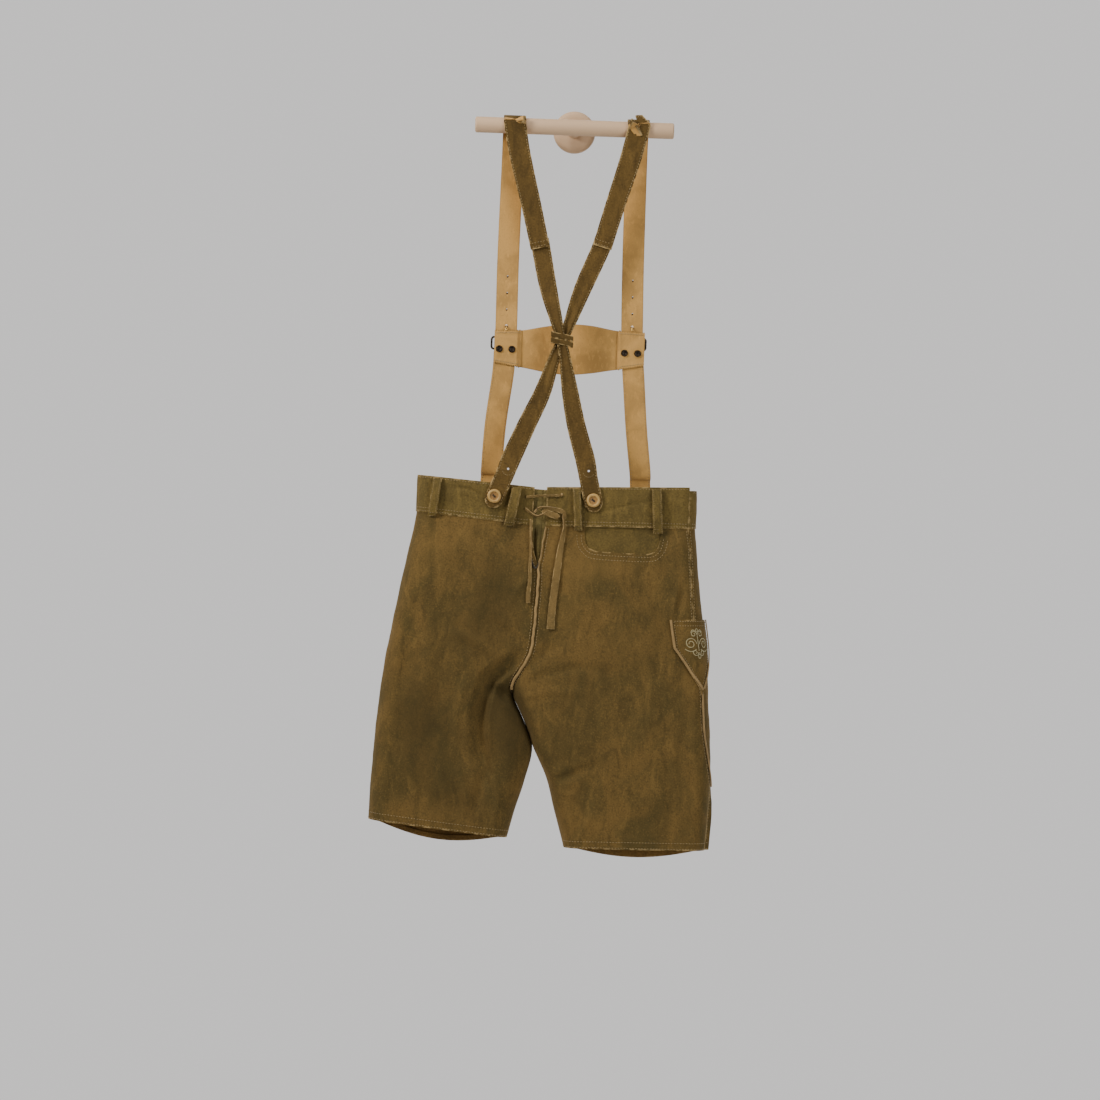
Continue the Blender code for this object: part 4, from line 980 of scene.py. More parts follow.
def make_facing():
    """The facing of the back pocket, behind the panel, and the gusset behind the vent."""
    trim = sizes().trim / MM
    behind, band_end = 2.3, -603.0
    x, z = np.meshgrid(np.linspace(27, 159, 60), np.linspace(-594, -649, 28))
    y = BACK.laid(x, np.minimum(z, band_end)) + behind + ripple(np.stack((x, z, z), -1), 22, 0.5)
    sheet = Sheet(np.stack((x, y, z), -1), (0, -1, 0))
    piece = leather("pocket_facing", sheet, trim, FACING, "facing_suede", "back_pocket_facing", edge=0.3)
    declared(sheet)

    margin, behind = 6.0, 2.9
    level = np.linspace(BAND_TOP_LEVEL, 0.15, 60)
    left, right = LEFT.at(level, 1.0), RIGHT.at(level, 1.0)
    u = np.linspace(0, 1, 49)[None, :]
    x = mixed(left[:, :1] - margin, right[:, :1] + margin, u)
    z = mixed(left[:, 2:], right[:, 2:], u) - np.where(level < 0, 4, 0)[:, None]
    open_below = eased(level / 0.03)[:, None]
    pleat = 6.5 * np.exp(-(((u - 0.29) / 0.09) ** 2)) * open_below + 1.6 * np.exp(-(((u - 0.66) / 0.06) ** 2))
    y = np.maximum(left[:, 1:2], right[:, 1:2]) + behind + pleat
    sheet = Sheet(np.stack((x, y, z), -1), (0, -1, 0))
    piece = leather("vent_gusset", sheet, trim, GUSSET, "facing_suede", "back_gusset", edge=0.3)
    declared(sheet)


# Belt loops: middle of the top end, middle of the bottom end, width. They stand off for a belt.
Loop = namedtuple("Loop", "name node top_x top_z bottom_x bottom_z width")
BACK_LOOPS = (
    Loop("loop_back_1", "belt_loop_1", -187, -534.5, -194, -593, 13),
    Loop("loop_back_2", "belt_loop_2", -67.5, -544.5, -78, -604, 15),
    Loop("loop_back_3", "belt_loop_3", 21.8, -543.5, 26.5, -607, 11.5),
    Loop("loop_back_4", "belt_loop_4", 142, -540.5, 146, -607.5, 14.5),
)
FRONT_LOOPS = (
    Loop("loop_front_left", "belt_loop_front_left", -158, -543, -160, -600, 14),
    Loop("loop_front_right", "belt_loop_front_right", 168, -547, 170, -606, 14),
)
LOOP_STAND, LOOP_THICK = 6.2, 2.2


def make_loops():
    for loops, skin in ((BACK_LOOPS, BACK), (FRONT_LOOPS, FRONT)):
        for loop in loops:
            v = np.linspace(0, 1, 44)[:, None]
            u = np.linspace(0, 1, 11)[None, :]
            x = mixed(loop.top_x, loop.bottom_x, v) + loop.width * (u - 0.5)
            z = mixed(loop.top_z, loop.bottom_z, v) + 0 * u
            stand = LIFT + LOOP_STAND * np.sin(np.pi * v) ** 0.6
            crown = 0.5 * (1 - (2 * u - 1) ** 4) - 0.35 * np.exp(-(((2 * u - 1) / 0.16) ** 2))
            # A square of double leather at the bottom, where the end is turned under and sewn down.
            turned_under = 0.7 * eased((v - 0.86) / 0.02)
            ease = skin.laid(x, z, 1.2)
            y = ease + skin.out_y * (stand + LOOP_THICK + (crown + turned_under) * np.sin(np.pi * v) ** 0.3)
            sheet = Sheet(np.stack((x, y, z), -1), (0, skin.out_y, 0))
            piece = leather(loop.name, sheet, LOOP_THICK, BAND, "waistband_suede", loop.node, edge=0.4,
                            wear=1.3)
            declared(sheet)
            SHEETS[loop.name] = sheet


# ---------------------------------------------------------------------------- knife pocket and piping

KNIFE_TOP, KNIFE_CORNER, KNIFE_TIP = 0.285, 0.368, 0.475
KNIFE_HALF, KNIFE_POINT = 38.0, 3.0
SLIT_TOP = 0.78
PIPING_WIDTH, PIPING_THICK = 4.5, 1.4
MOTIF_LEVEL = 0.350
MOTIF_SCALE = 1.15


def knife_half_width(level):
    share = (level - KNIFE_CORNER) / (KNIFE_TIP - KNIFE_CORNER)
    return mixed(KNIFE_HALF, KNIFE_POINT, np.clip(share, 0, 1))


def seam_sheet(half, level, reach, lift):
    """A grid beside a side seam, lifted off the cloth."""
    points = half.beside_seam(level, reach)
    normals = Sheet(points, (-half.inward, 0, 0))
    return normals.moved(lift)


def make_knife_pocket():
    """A pointed patch over the right side seam."""
    trim = sizes().trim / MM
    level = np.concatenate((np.linspace(KNIFE_TOP, KNIFE_CORNER, 30)[:-1],
                            np.linspace(KNIFE_CORNER, KNIFE_TIP, 40)))
    u = np.linspace(-1, 1, 61)[None, :]
    reach = u * knife_half_width(level)[:, None]
    sheet = seam_sheet(RIGHT, level, reach, LIFT + trim)
    gape = 0.8 * np.exp(-(((level - KNIFE_TOP) / 0.012) ** 2))[:, None] * (1 - u**2)
    sheet = sheet.moved(gape + ripple(sheet.points, 15, 0.4, 3.0))
    piece = leather("side_pocket", sheet, trim, SUEDE, "suede", "knife_pocket", edge=0.4, wear=1.8)
    declared(sheet)
    SHEETS["knife"] = sheet


def strip_sheet(points, outs, width, crown, columns=7):
    """A flat strip of one width along points, as a grid that stands up in its middle."""
    along = np.gradient(points, axis=0)
    side = unit(np.cross(outs, along))
    u = np.linspace(-0.5, 0.5, columns)
    grid = points[:, None] + side[:, None] * (np.ravel(width)[:, None, None] * u[None, :, None])
    rise = crown * (1 - (2 * u) ** 2)
    return Sheet(grid + outs[:, None] * rise[None, :, None], outs.mean(axis=0))


def make_piping():
    """Beige strips over the seat seam, down both side seams and along the knife pocket."""
    thick, width = PIPING_THICK, np.array([PIPING_WIDTH - 0.4])
    level = np.linspace(0.006, 0.505, 150)
    seam = RIGHT.at(level, 1.0)
    seam[:, 1] = BACK.laid(seam[:, 0], seam[:, 2], PIPING_WIDTH / 2 + 0.6) - LIFT - thick
    wave = 0.35 * np.sin(level * 90) + 0.25 * np.sin(level * 211)
    seam[:, 0] += wave
    outs = np.tile((0.0, -1.0, 0.0), (len(seam), 1))
    # Beside the vent it is only the panel's narrow bound edge.
    widths = mixed(2.2, PIPING_WIDTH - 0.4, eased((level - 0.12) / 0.03))
    runs = {"piping_seat": ("seat_piping", strip_sheet(seam, outs, widths, 0.9))}

    def beside(half, levels, reach, lift):
        middle = seam_sheet(half, levels, reach[:, None] + np.linspace(-1, 1, 3)[None, :], lift)
        return strip_sheet(middle.points[:, 1], middle.outs[:, 1], width, 0.8)

    flat = np.zeros(60)
    right, left = np.linspace(KNIFE_TIP + 0.012, SLIT_TOP, 60), np.linspace(KNIFE_TIP, 0.96, 60)
    runs["piping_right"] = ("side_piping_right", beside(RIGHT, right, flat, LIFT + thick))
    runs["piping_left"] = ("side_piping_left", beside(LEFT, left, flat, LIFT + thick))
    edge = PIPING_WIDTH / 2
    down = np.concatenate((np.linspace(KNIFE_TOP, KNIFE_CORNER, 24)[:-1],
                           np.linspace(KNIFE_CORNER, KNIFE_TIP, 40)))
    reach = knife_half_width(down) - edge
    reach[-1] = 0
    above = LIFT + sizes().trim / MM + GAP + 0.3 + thick
    runs["piping_pocket_back"] = ("knife_pocket_piping_back", beside(RIGHT, down, reach, above))
    runs["piping_pocket_front"] = ("knife_pocket_piping_front", beside(RIGHT, down[:-1], -reach[:-1], above))
    for name, (node, sheet) in runs.items():
        leather(name, sheet, thick, BEIGE, "beige_leather", node, edge=0.35)


def spiral(x, h, radius, small, turns, start, sign):
    """A scroll that winds in round a centre."""
    t = np.linspace(0, 1, 60)
    angle = start + sign * turns * math.tau * t
    far = mixed(radius, small, t**0.8)
    return [(x + a * math.cos(b), h + a * math.sin(b)) for a, b in zip(far, angle)]


def scrolls():
    """The embroidery's lines, in millimetres round its middle: mirrored scrolls on a stem."""
    lines = [[(0, h) for h in np.linspace(-9, 14, 24)]]
    for sign in (1, -1):
        start = 0 if sign < 0 else math.pi
        lines.append(spiral(sign * 10.5, 0, 8.2, 2.2, 1.55, start, -sign))
        lines.append(spiral(sign * 5.2, 12.5, 4.6, 1.4, 1.2, start, -sign))
        lines.append(spiral(sign * 5.6, -11.5, 4.8, 1.5, 1.2, start, sign))
        lines.append([(sign * (2 + 7 * t), 15 + 3.2 * math.sin(math.pi * t)) for t in np.linspace(0, 1, 12)])
        lines.append([(sign * (4 + 15 * t), -7.5 - 2.8 * math.sin(math.pi * t))
                      for t in np.linspace(0, 1, 22)])
    lines.append([(2.1 * math.cos(a), -16.5 + 2.6 * math.sin(a)) for a in np.linspace(0, math.tau, 22)])
    lines.append([(1.6 * math.cos(a), 17.5 + 2.2 * math.sin(a)) for a in np.linspace(0, math.tau, 18)])
    return lines


def make_embroidery():
    """Satin stitches across the scrolls' lines, on the knife pocket."""
    sheet = SHEETS["knife"]
    mesh = bmesh.new()
    fall = sheet.down[:, 30]
    centre = np.interp(MOTIF_LEVEL, np.linspace(KNIFE_TOP, KNIFE_TIP, 2), (0, fall[-1]))
    rows, columns = np.arange(len(fall)), np.arange(sheet.points.shape[1])
    for line in scrolls():
        points, outs = [], []
        for s, h in line:
            row = np.interp(centre - MOTIF_SCALE * h, fall, rows)
            k = int(min(row, len(rows) - 2))
            share = row - k
            reach = mixed(sheet.across[k], sheet.across[k + 1], share)
            column = np.interp(reach[30] + MOTIF_SCALE * s, reach, columns)
            c = int(min(column, len(columns) - 2))
            part = column - c
            for source, found in ((sheet.points, points), (sheet.outs, outs)):
                upper = mixed(source[k, c], source[k, c + 1], part)
                lower = mixed(source[k + 1, c], source[k + 1, c + 1], part)
                found.append(mixed(upper, lower, share))
        points, outs = np.array(points), unit(np.array(outs))
        far = np.append(0, np.cumsum(np.linalg.norm(np.diff(points, axis=0), axis=1)))
        spacing, half = 0.62, 0.85
        for at in np.arange(0, far[-1], spacing):
            middle = np.array([np.interp(at, far, points[:, i]) for i in range(3)])
            ahead = np.array([np.interp(at + 0.4, far, points[:, i]) for i in range(3)])
            out = unit(np.array([np.interp(at, far, outs[:, i]) for i in range(3)]))
            along = unit(ahead - middle) if at + 0.4 < far[-1] else along
            across = unit(np.cross(out, along) + 0.35 * along)
            matrix = Matrix.Identity(4)
            for axis, column in enumerate((across * half, unit(np.cross(out, across)) * 0.36, out * 0.34)):
                matrix[0][axis], matrix[1][axis], matrix[2][axis] = column
            matrix.translation = Vector(middle + out * 0.15)
            bmesh.ops.create_icosphere(mesh, subdivisions=1, radius=1, matrix=matrix)
    finished(mesh, "pocket_embroidery", ("embroidery thread",), "beige_leather")


# ---------------------------------------------------------------------------- turned pieces and wires


def turned(name, profile, centre, direction, looks, slot, *nodes, segments=48, core=0.0, sharp=35):
    """A turned piece from rows of a radius and a height. Within core its top has the second look."""
    mesh = bmesh.new()
    rim = [mesh.verts.new((radius, 0, height)) for radius, height in profile]
    edges = [mesh.edges.new(pair) for pair in zip(rim, rim[1:])]
    bmesh.ops.spin(
        mesh, geom=rim + edges, cent=(0, 0, 0), axis=(0, 0, 1), angle=math.tau, steps=segments, use_merge=True
    )
    bmesh.ops.remove_doubles(mesh, verts=mesh.verts, dist=0.005)
    bmesh.ops.recalc_face_normals(mesh, faces=mesh.faces)
    for face in mesh.faces:
        middle = face.calc_center_median()
        if middle.z > 0.3 and math.hypot(middle.x, middle.y) < core:
            face.material_index = 1
    turn = Vector((0, 0, 1)).rotation_difference(Vector(direction)).to_matrix().to_4x4()
    bmesh.ops.transform(mesh, matrix=Matrix.Translation(centre) @ turn, verts=mesh.verts)
    piece = finished(mesh, name, looks, slot, *nodes)
    piece.data.set_sharp_from_angle(angle=math.radians(sharp))
    return piece


def box(name, size, place, turn=0.0):
    """A block, turned about Y, as a cutter."""
    mesh = bmesh.new()
    matrix = Matrix.Translation(place) @ Matrix.Rotation(turn, 4, "Y") @ Matrix.Diagonal((*size, 1))
    bmesh.ops.create_cube(mesh, size=1, matrix=matrix)
    return cutter(mesh, name)


def pin(name, place, radius, length, slant=0.0, look=None):
    """A round bar along Y, or at a slant to it, as a cutter. Its look is that of the hole's wall."""
    mesh = bmesh.new()
    matrix = Matrix.Translation(place) @ Matrix.Rotation(math.pi / 2 + slant, 4, "X")
    bmesh.ops.create_cone(
        mesh, cap_ends=True, segments=24, radius1=radius, radius2=radius, depth=length, matrix=matrix
    )
    made = cutter(mesh, name)
    if look:
        made.data.materials.append(bpy.data.materials[look])
    return made


def cutter(mesh, name):
    bmesh.ops.scale(mesh, vec=(MM, MM, MM), verts=mesh.verts)
    bmesh.ops.recalc_face_normals(mesh, faces=mesh.faces)
    data = bpy.data.meshes.new(name)
    mesh.to_mesh(data)
    mesh.free()
    made = bpy.data.objects.new(name, data)
    bpy.context.scene.collection.objects.link(made)
    return made


def punched(piece, cutters):
    """Cuts holes through a piece for good, and removes the cutters."""
    for tool in cutters:
        hole = piece.modifiers.new("hole", "BOOLEAN")
        hole.object = tool
        hole.operation = "DIFFERENCE"
        hole.material_mode = "TRANSFER" if tool.data.materials else "INDEX"
    kept = [modifier for modifier in piece.modifiers if modifier.type == "BEVEL"]
    for modifier in kept:
        piece.modifiers.remove(modifier)
    graph = bpy.context.evaluated_depsgraph_get()
    data = bpy.data.meshes.new_from_object(piece.evaluated_get(graph), depsgraph=graph)
    piece.modifiers.clear()
    old = piece.data
    piece.data = data
    bpy.data.meshes.remove(old)
    for tool in cutters:
        bpy.data.objects.remove(tool)
    return softened(piece, 0.35)


def wire(name, points, radii, look, slot, *nodes, closed=False):
    """A wire bent through points, its radius in millimetres at each."""
    path = bpy.data.curves.new(name, "CURVE")
    path.dimensions = "3D"
    path.bevel_depth = MM
    path.bevel_resolution = 4
    path.use_fill_caps = not closed
    spline = path.splines.new("POLY")
    spline.points.add(len(points) - 1)
    for target, point, radius in zip(spline.points, points, np.broadcast_to(radii, len(points))):
        target.co = (*(Vector(point) * MM), 1)
        target.radius = radius
    spline.use_cyclic_u = closed
    spline.use_smooth = True
    path.materials.append(bpy.data.materials[look])
    piece = bpy.data.objects.new(name, path)
    bpy.context.scene.collection.objects.link(piece)
    return placed(piece, slot, *nodes)


BUTTON_PROFILE = ((0, 1.5), (3.4, 1.5), (5.2, 1.7), (6.1, 2.6), (6.8, 3.7), (7.6, 4.15), (8.6, 4.1),
                  (9.6, 3.5),
                  (10.25, 2.6), (10.5, 1.8), (10.3, 1.0), (9.7, 0.45), (8.4, 0.1), (7.0, 0), (0, 0))
SLOT_TURN = {"button_back_from_left": 0.62, "button_back_from_right": 0.75}


def make_button(name, node, x, y, z, out_y):
    """A horn button with a dished middle, a slanting slot and the thread that holds it."""
    looks = ("horn", "horn core")
    scale = sizes().button / MM / 10.5
    profile = [(radius * scale, height) for radius, height in BUTTON_PROFILE]
    piece = turned(name, profile, (x, y, z), (0, out_y, 0), looks, "bone", node, core=6.0)
    turn = SLOT_TURN.get(node, 0.5)
    middle = y + out_y * 2
    punched(piece, [box("slot", (5.6, 12, 2.2), (x, middle, z), turn)])
    mesh = bmesh.new()
    along = np.array((math.cos(turn), 0, -math.sin(turn)))
    across = np.array((math.sin(turn), 0, math.cos(turn)))
    for k in range(-2, 3):
        start = np.array((x, y + out_y * 1.2, z)) + along * k * 1.3 - across * 2.3
        crest = start + across * 2.3 + np.array((0, out_y * 0.5, 0))
        run = smooth_path([start, crest, start + across * 4.6], 4)
        outs = np.tile((0.0, out_y, 0.0), (len(run), 1))
        stitch_line(mesh, (run, outs), length=4.4, gap=0, radius=0.5, lift=0.2)
    finished(mesh, f"{name}_thread", ("dark thread",), "beige_leather")


# ---------------------------------------------------------------------------- braces

# The rail's bar, and the stem's start behind the wall plate.
BAR_RADIUS, PLATE_DEPTH = 12.0, 10
STRAP_CLEAR = 0.9
STRAP_THICK = 3.0
Station = namedtuple("Station", "x y z width")


def over_bar(start_x, end_x):
    """Stations of a strap over the rail's bar, from the wall's side to the room's."""
    radius = BAR_RADIUS + STRAP_CLEAR + STRAP_THICK / 2
    return [
        Station(
            mixed(start_x, end_x, turn),
            MIDDLE_Y + radius * math.cos(math.pi * turn),
            radius * math.sin(math.pi * turn),
            33,
        )
        for turn in np.linspace(0, 1, 9)
    ]


# Upper straps: from behind the chest bar's tabs up over the bar and down to the join with the back straps.
UPPER = {
    "left": (
        [Station(-93.8, -61, -337, 33), Station(-92.8, -61, -302, 33), Station(-93.5, -60.5, -200, 33),
         Station(-92, -60.5, -60, 33)],
        (-91.5, -89.5),
        [Station(-80, -90.5, -48, 32), Station(-60, -91.5, -125, 30), Station(-45.5, -92.5, -184, 29)],
    ),
    "right": (
        [Station(98.6, -61, -337, 33), Station(97.3, -61, -297.5, 33), Station(95.5, -60.5, -200, 33),
         Station(95, -60.5, -60, 33)],
        (95.5, 96.5),
        [Station(85, -90.5, -48, 32), Station(64, -91.5, -120, 30), Station(47.5, -92.5, -180, 29)],
    ),
}
HOLE_TOP, HOLE_STEP, HOLE_RADIUS = -226, 25, 1.35
# The prong drags its holes aslant, so that one doesn't see straight through them.
HOLE_SLANT = math.radians(42)

# Lower front straps: from the chest bar down to their buttons outside the front waistband.
LOWER = {
    "left": [Station(-94, -61, -340, 33), Station(-95.2, -61, -374, 33), Station(-104, -56, -449, 32.5),
             Station(-107.6, -51, -515, 32)],
    "right": [Station(98.7, -61, -340, 33), Station(102.2, -61, -375, 33), Station(109, -56, -450, 32.5),
              Station(117, -51, -515, 32)],
}

# Back straps cross at the keeper. The one from the upper left lies on the other.
CROSS_Z = -321
BACK_STRAPS = {
    "from_left": [
        Station(-47, -88.6, -171, 28), Station(-43, -89.2, -190, 28), Station(-31, -93.5, -245, 26),
        Station(-16, -99.4, -298, 18), Station(-9.5, -99.6, CROSS_Z, 15), Station(-3.5, -99.6, -344, 17),
        Station(7, -100.5, -400, 25), Station(18, -102, -450, 28), Station(33, -104.5, -500, 29.5),
    ],
    "from_right": [
        Station(50, -88.6, -167, 28), Station(44, -89.2, -186, 28), Station(20, -92.5, -245, 26),
        Station(2, -95.7, -298, 18), Station(-7, -95.8, CROSS_Z, 15), Station(-17, -95.8, -344, 17),
        Station(-34, -98, -400, 25), Station(-56, -101, -450, 28), Station(-77, -104, -500, 29.5),
    ],
}
BACK_BUTTONS = {"from_left": (47.5, -561), "from_right": (-101.5, -559.5)}
FRONT_BUTTONS = {"left": (-110, -562), "right": (119.5, -562)}
SPARE_HOLES = {"from_left": (39, -517), "from_right": (-82, -518)}


def strap_end(skin, button, above, width):
    """The last stations of a strap, flat on the waistband round its button, with a round end."""
    x, z = button
    y = skin.depth(x, z, width / 2) + skin.out_y * (LIFT + STRAP_THICK / 2)
    lean = (x - above.x) / (z - above.z)
    straight = [Station(x + lean * (step + 3), y, z + step, width) for step in (34, 24, 14, 4)]
    drop, radius = 17.0, 15.0
    bend = [
        Station(
            x + lean * (3 - drop + radius * (1 - math.sin(angle))),
            y,
            z - drop + radius * (1 - math.sin(angle)),
            max(width * math.cos(angle), 1.2),
        )
        for angle in np.linspace(0, math.pi / 2, 12)
    ]
    return straight + bend


# Below this height the back straps lie flat and keep their full width.
FLAT_BELOW = -520.0


def ribbon(stations, thickness, steps=10, columns=13, full=None, crown=0.3, twist=None):
    """A strap's outer face from its middle's stations. Where it is narrower than full, it lies in folds."""
    rows = smooth_path(stations, steps)
    middle, width = rows[:, :3], rows[:, 3:4]
    along = unit(np.gradient(middle, axis=0))
    upright = np.abs(along[:, :1]) < 0.8
    side = np.where(upright, (1.0, 0, 0), (0, 0, 1.0))
    side = unit(side - along * (side * along).sum(axis=1, keepdims=True))
    out = unit(np.cross(along, side))
    if twist is not None:
        turn = np.radians(np.interp(np.linspace(0, 1, len(rows)), *zip(*twist)))[:, None]
        side, out = side * np.cos(turn) + out * np.sin(turn), out * np.cos(turn) - side * np.sin(turn)
    s = np.linspace(-1, 1, columns)
    squeeze = np.clip(1 - width / full, 0, 1) * eased((rows[:, 2:3] - FLAT_BELOW) / 20) if full else 0 * width
    folds = 7.0 * np.exp(-(((s - 0.42) / 0.30) ** 2)) - 4.5 * np.exp(-(((s + 0.25) / 0.26) ** 2))
    height = thickness / 2 + crown * (1 - s**4) - crown + squeeze * folds
    points = middle[:, None] + side[:, None] * (width * s / 2)[..., None] + out[:, None] * height[..., None]
    sheet = Sheet(points, None, np.repeat(out[:, None], columns, axis=1))
    normals = unit(np.cross(np.gradient(points, axis=0), np.gradient(points, axis=1)))
    if (normals * sheet.outs).sum() < 0:
        normals = -normals
    return Sheet(points, None, normals)


def strap_runs(sheet, inset=2.6, start=4.0, end=6.0):
    return [sheet.run(side, inset, start, end) for side in ("left", "right")]


def make_upper_straps():
    for side, (rise, (start_x, end_x), fall_side) in UPPER.items():
        stations = rise + over_bar(start_x, end_x) + fall_side
        sheet = ribbon(stations, STRAP_THICK, columns=11)
        sheet = sheet.moved(ripple(sheet.points, 40, 0.5))
        name = f"brace_upper_{side}"
        piece = leather(name, sheet, STRAP_THICK, BRACE, "flesh_side", f"strap_upper_{side}", wear=1.8)
        x_of = [(station.z, station.x) for station in reversed(rise)]
        holes = []
        for k in range(3):
            z = HOLE_TOP - HOLE_STEP * k
            x = np.interp(z, *zip(*sorted(x_of)))
            # Each hole's wall gets the dark look of painted shade, so that the small holes look dark.
            holes.append(pin("hole", (x, -61, z), HOLE_RADIUS, 14, HOLE_SLANT, "hole wall"))
        holes.append(pin("hole", (rise[1].x, -61, rise[1].z + 1.5), 2.1, 14, HOLE_SLANT, "hole wall"))
        punched(piece, holes)
        declared(sheet)
        SHEETS[name] = sheet


def make_lower_straps():
    for side, stations in LOWER.items():
        button = FRONT_BUTTONS[side]
        rows = stations + strap_end(FRONT, button, stations[-1], 31)
        sheet = ribbon(rows, STRAP_THICK, steps=6, columns=11)
        sheet = sheet.moved(ripple(sheet.points, 40, 0.4))
        name = f"brace_lower_{side}"
        piece = leather(name, sheet, STRAP_THICK, BRACE_TURNED, "flesh_side", f"strap_lower_{side}", wear=1.8)
        declared(sheet)
        SHEETS[name] = sheet
        x, z = button
        y = FRONT.depth(x, z, 15) + LIFT + STRAP_THICK + GAP
        make_button(f"horn_front_{side}", f"button_lower_{side}", x, y, z, 1)


def make_back_straps():
    for side, stations in BACK_STRAPS.items():
        button = BACK_BUTTONS[side]
        rows = stations + strap_end(BACK, button, stations[-1], 28)
        sheet = ribbon(rows, STRAP_THICK, steps=8, columns=17, full=28.5)
        sheet = sheet.moved(ripple(sheet.points, 30, 0.5, 2.0))
        name = f"brace_back_{side}"
        piece = leather(name, sheet, STRAP_THICK, BRACE, "strap_suede", f"strap_back_{side}", wear=2.0)
        hole_x, hole_z = SPARE_HOLES[side]
        punched(piece, [pin("hole", (hole_x, -105, hole_z), 1.7, 30)])
        declared(sheet)
        SHEETS[name] = sheet
        x, z = button
        y = BACK.depth(x, z, 15) - LIFT - STRAP_THICK - GAP
        make_button(f"horn_back_{side}", f"button_back_{side}", x, y, z, -1)


def make_keeper():
    """A thong wound twice round both back straps where they cross."""
    left, right, room, wall_side, corner = -24.5, 8.5, -104.0, -91.4, 3.0
    middle = (left + right) / 2
    path = [(middle, wall_side, 0.0, 1.0)]
    for x, y, start in ((right, wall_side, 90), (right, room, 0), (left, room, -90), (left, wall_side, -180)):
        cx = x - math.copysign(corner, x - middle)
        cy = y - math.copysign(corner, y - (room + wall_side) / 2)
        for step in range(5):
            angle = math.radians(start - 22.5 * step)
            path.append((cx + corner * math.cos(angle), cy + corner * math.sin(angle), math.cos(angle),
                         math.sin(angle)))
    path.append((middle - 0.25, wall_side, 0.0, 1.0))
    path = smooth_path(path, 5)
    thick, tilt = 2.2, -0.22
    for number, (level, width) in enumerate(((-316.2, 8.0), (-325.2, 8.4)), 1):
        v = np.linspace(-0.5, 0.5, 9)
        swell = 0.55 * (1 - (2 * v) ** 2)
        x = path[:, :1] + path[:, 2:3] * swell
        y = path[:, 1:2] + path[:, 3:4] * swell
        sway = 0.6 * np.sin(path[:, :1] / 7 + number)
        z = level + tilt * (path[:, :1] - middle) + sway - v[None, :] * width
        outward = np.stack((path[:, 2], path[:, 3], 0 * path[:, 2]), -1)
        outs = unit(np.repeat(outward[:, None], len(v), axis=1))
        sheet = Sheet(np.stack((x, y, z), -1), None, outs)
        nodes = ("keeper",) if number == 1 else ()
        leather(f"keeper_wrap_{number}", sheet, thick, BRACE, "strap_suede", *nodes, edge=0.5, wear=1.5)


# Chest bar: x, its top edge and its bottom edge. It lies outside the front straps, its tabs inside them.
ChestRow = namedtuple("ChestRow", "x top bottom")
CHEST = (
    ChestRow(-110, -308.5, -357), ChestRow(-90, -308, -360), ChestRow(-69, -307, -363),
    ChestRow(-33, -300, -369),
    ChestRow(-2, -295.5, -372), ChestRow(34.5, -296.5, -369), ChestRow(76, -303, -362),
    ChestRow(97, -304, -358.5),
    ChestRow(117, -305, -355),
)
TAB_THICK, CHEST_THICK = 2.4, 2.8
TAB_DIP = 4.4
CHEST_Y = -56.4
CHEST_FOLDS = (
    Fold(((-62, -322), (-48, -332), (-40, -348)), 0.9, 6, 5),
    Fold(((-36, -312), (-30, -330)), -0.8, 5, 6),
    Fold(((26, -306), (34, -326), (50, -340)), 0.9, 7, 6),
    Fold(((52, -314), (60, -332)), -0.7, 6, 6),
)
STUDS = {"left": (-102, -83), "right": (87, 107)}
BUCKLES = {"left": (-92.8, -327, -300.5), "right": (97.3, -322, -296)}
SNAP_PROFILE = ((0, 0.35), (1.3, 0.35), (1.5, 1.0), (2.3, 1.3), (2.8, 2.15), (3.5, 2.4), (4.3, 2.25),
                (5.0, 1.5),
                (5.3, 0.7), (5.2, 0), (0, 0))


def chest_grid(first, last, columns, rows, y, pinked=0.0):
    """A stretch of the chest bar's outline, with pinked edges where the notches have a depth."""
    table = np.array(CHEST, float)
    x = np.linspace(table[first, 0], table[last, 0], columns)
    share = np.interp(x, table[:, 0], np.arange(len(table)))
    curve = smooth_path(CHEST, 20)
    at = share * 20
    k = np.arange(len(curve))
    top, bottom = np.interp(at, k, curve[:, 1]), np.interp(at, k, curve[:, 2])
    notch = pinked * (np.abs((x / 3.4) % 1 - 0.5) * 4 - 1)
    top, bottom = top + notch, bottom - notch
    v = np.linspace(0, 1, rows)[:, None]
    z = mixed(top[None, :], bottom[None, :], v)
    return np.stack((np.broadcast_to(x, z.shape), np.full(z.shape, y), z), -1)


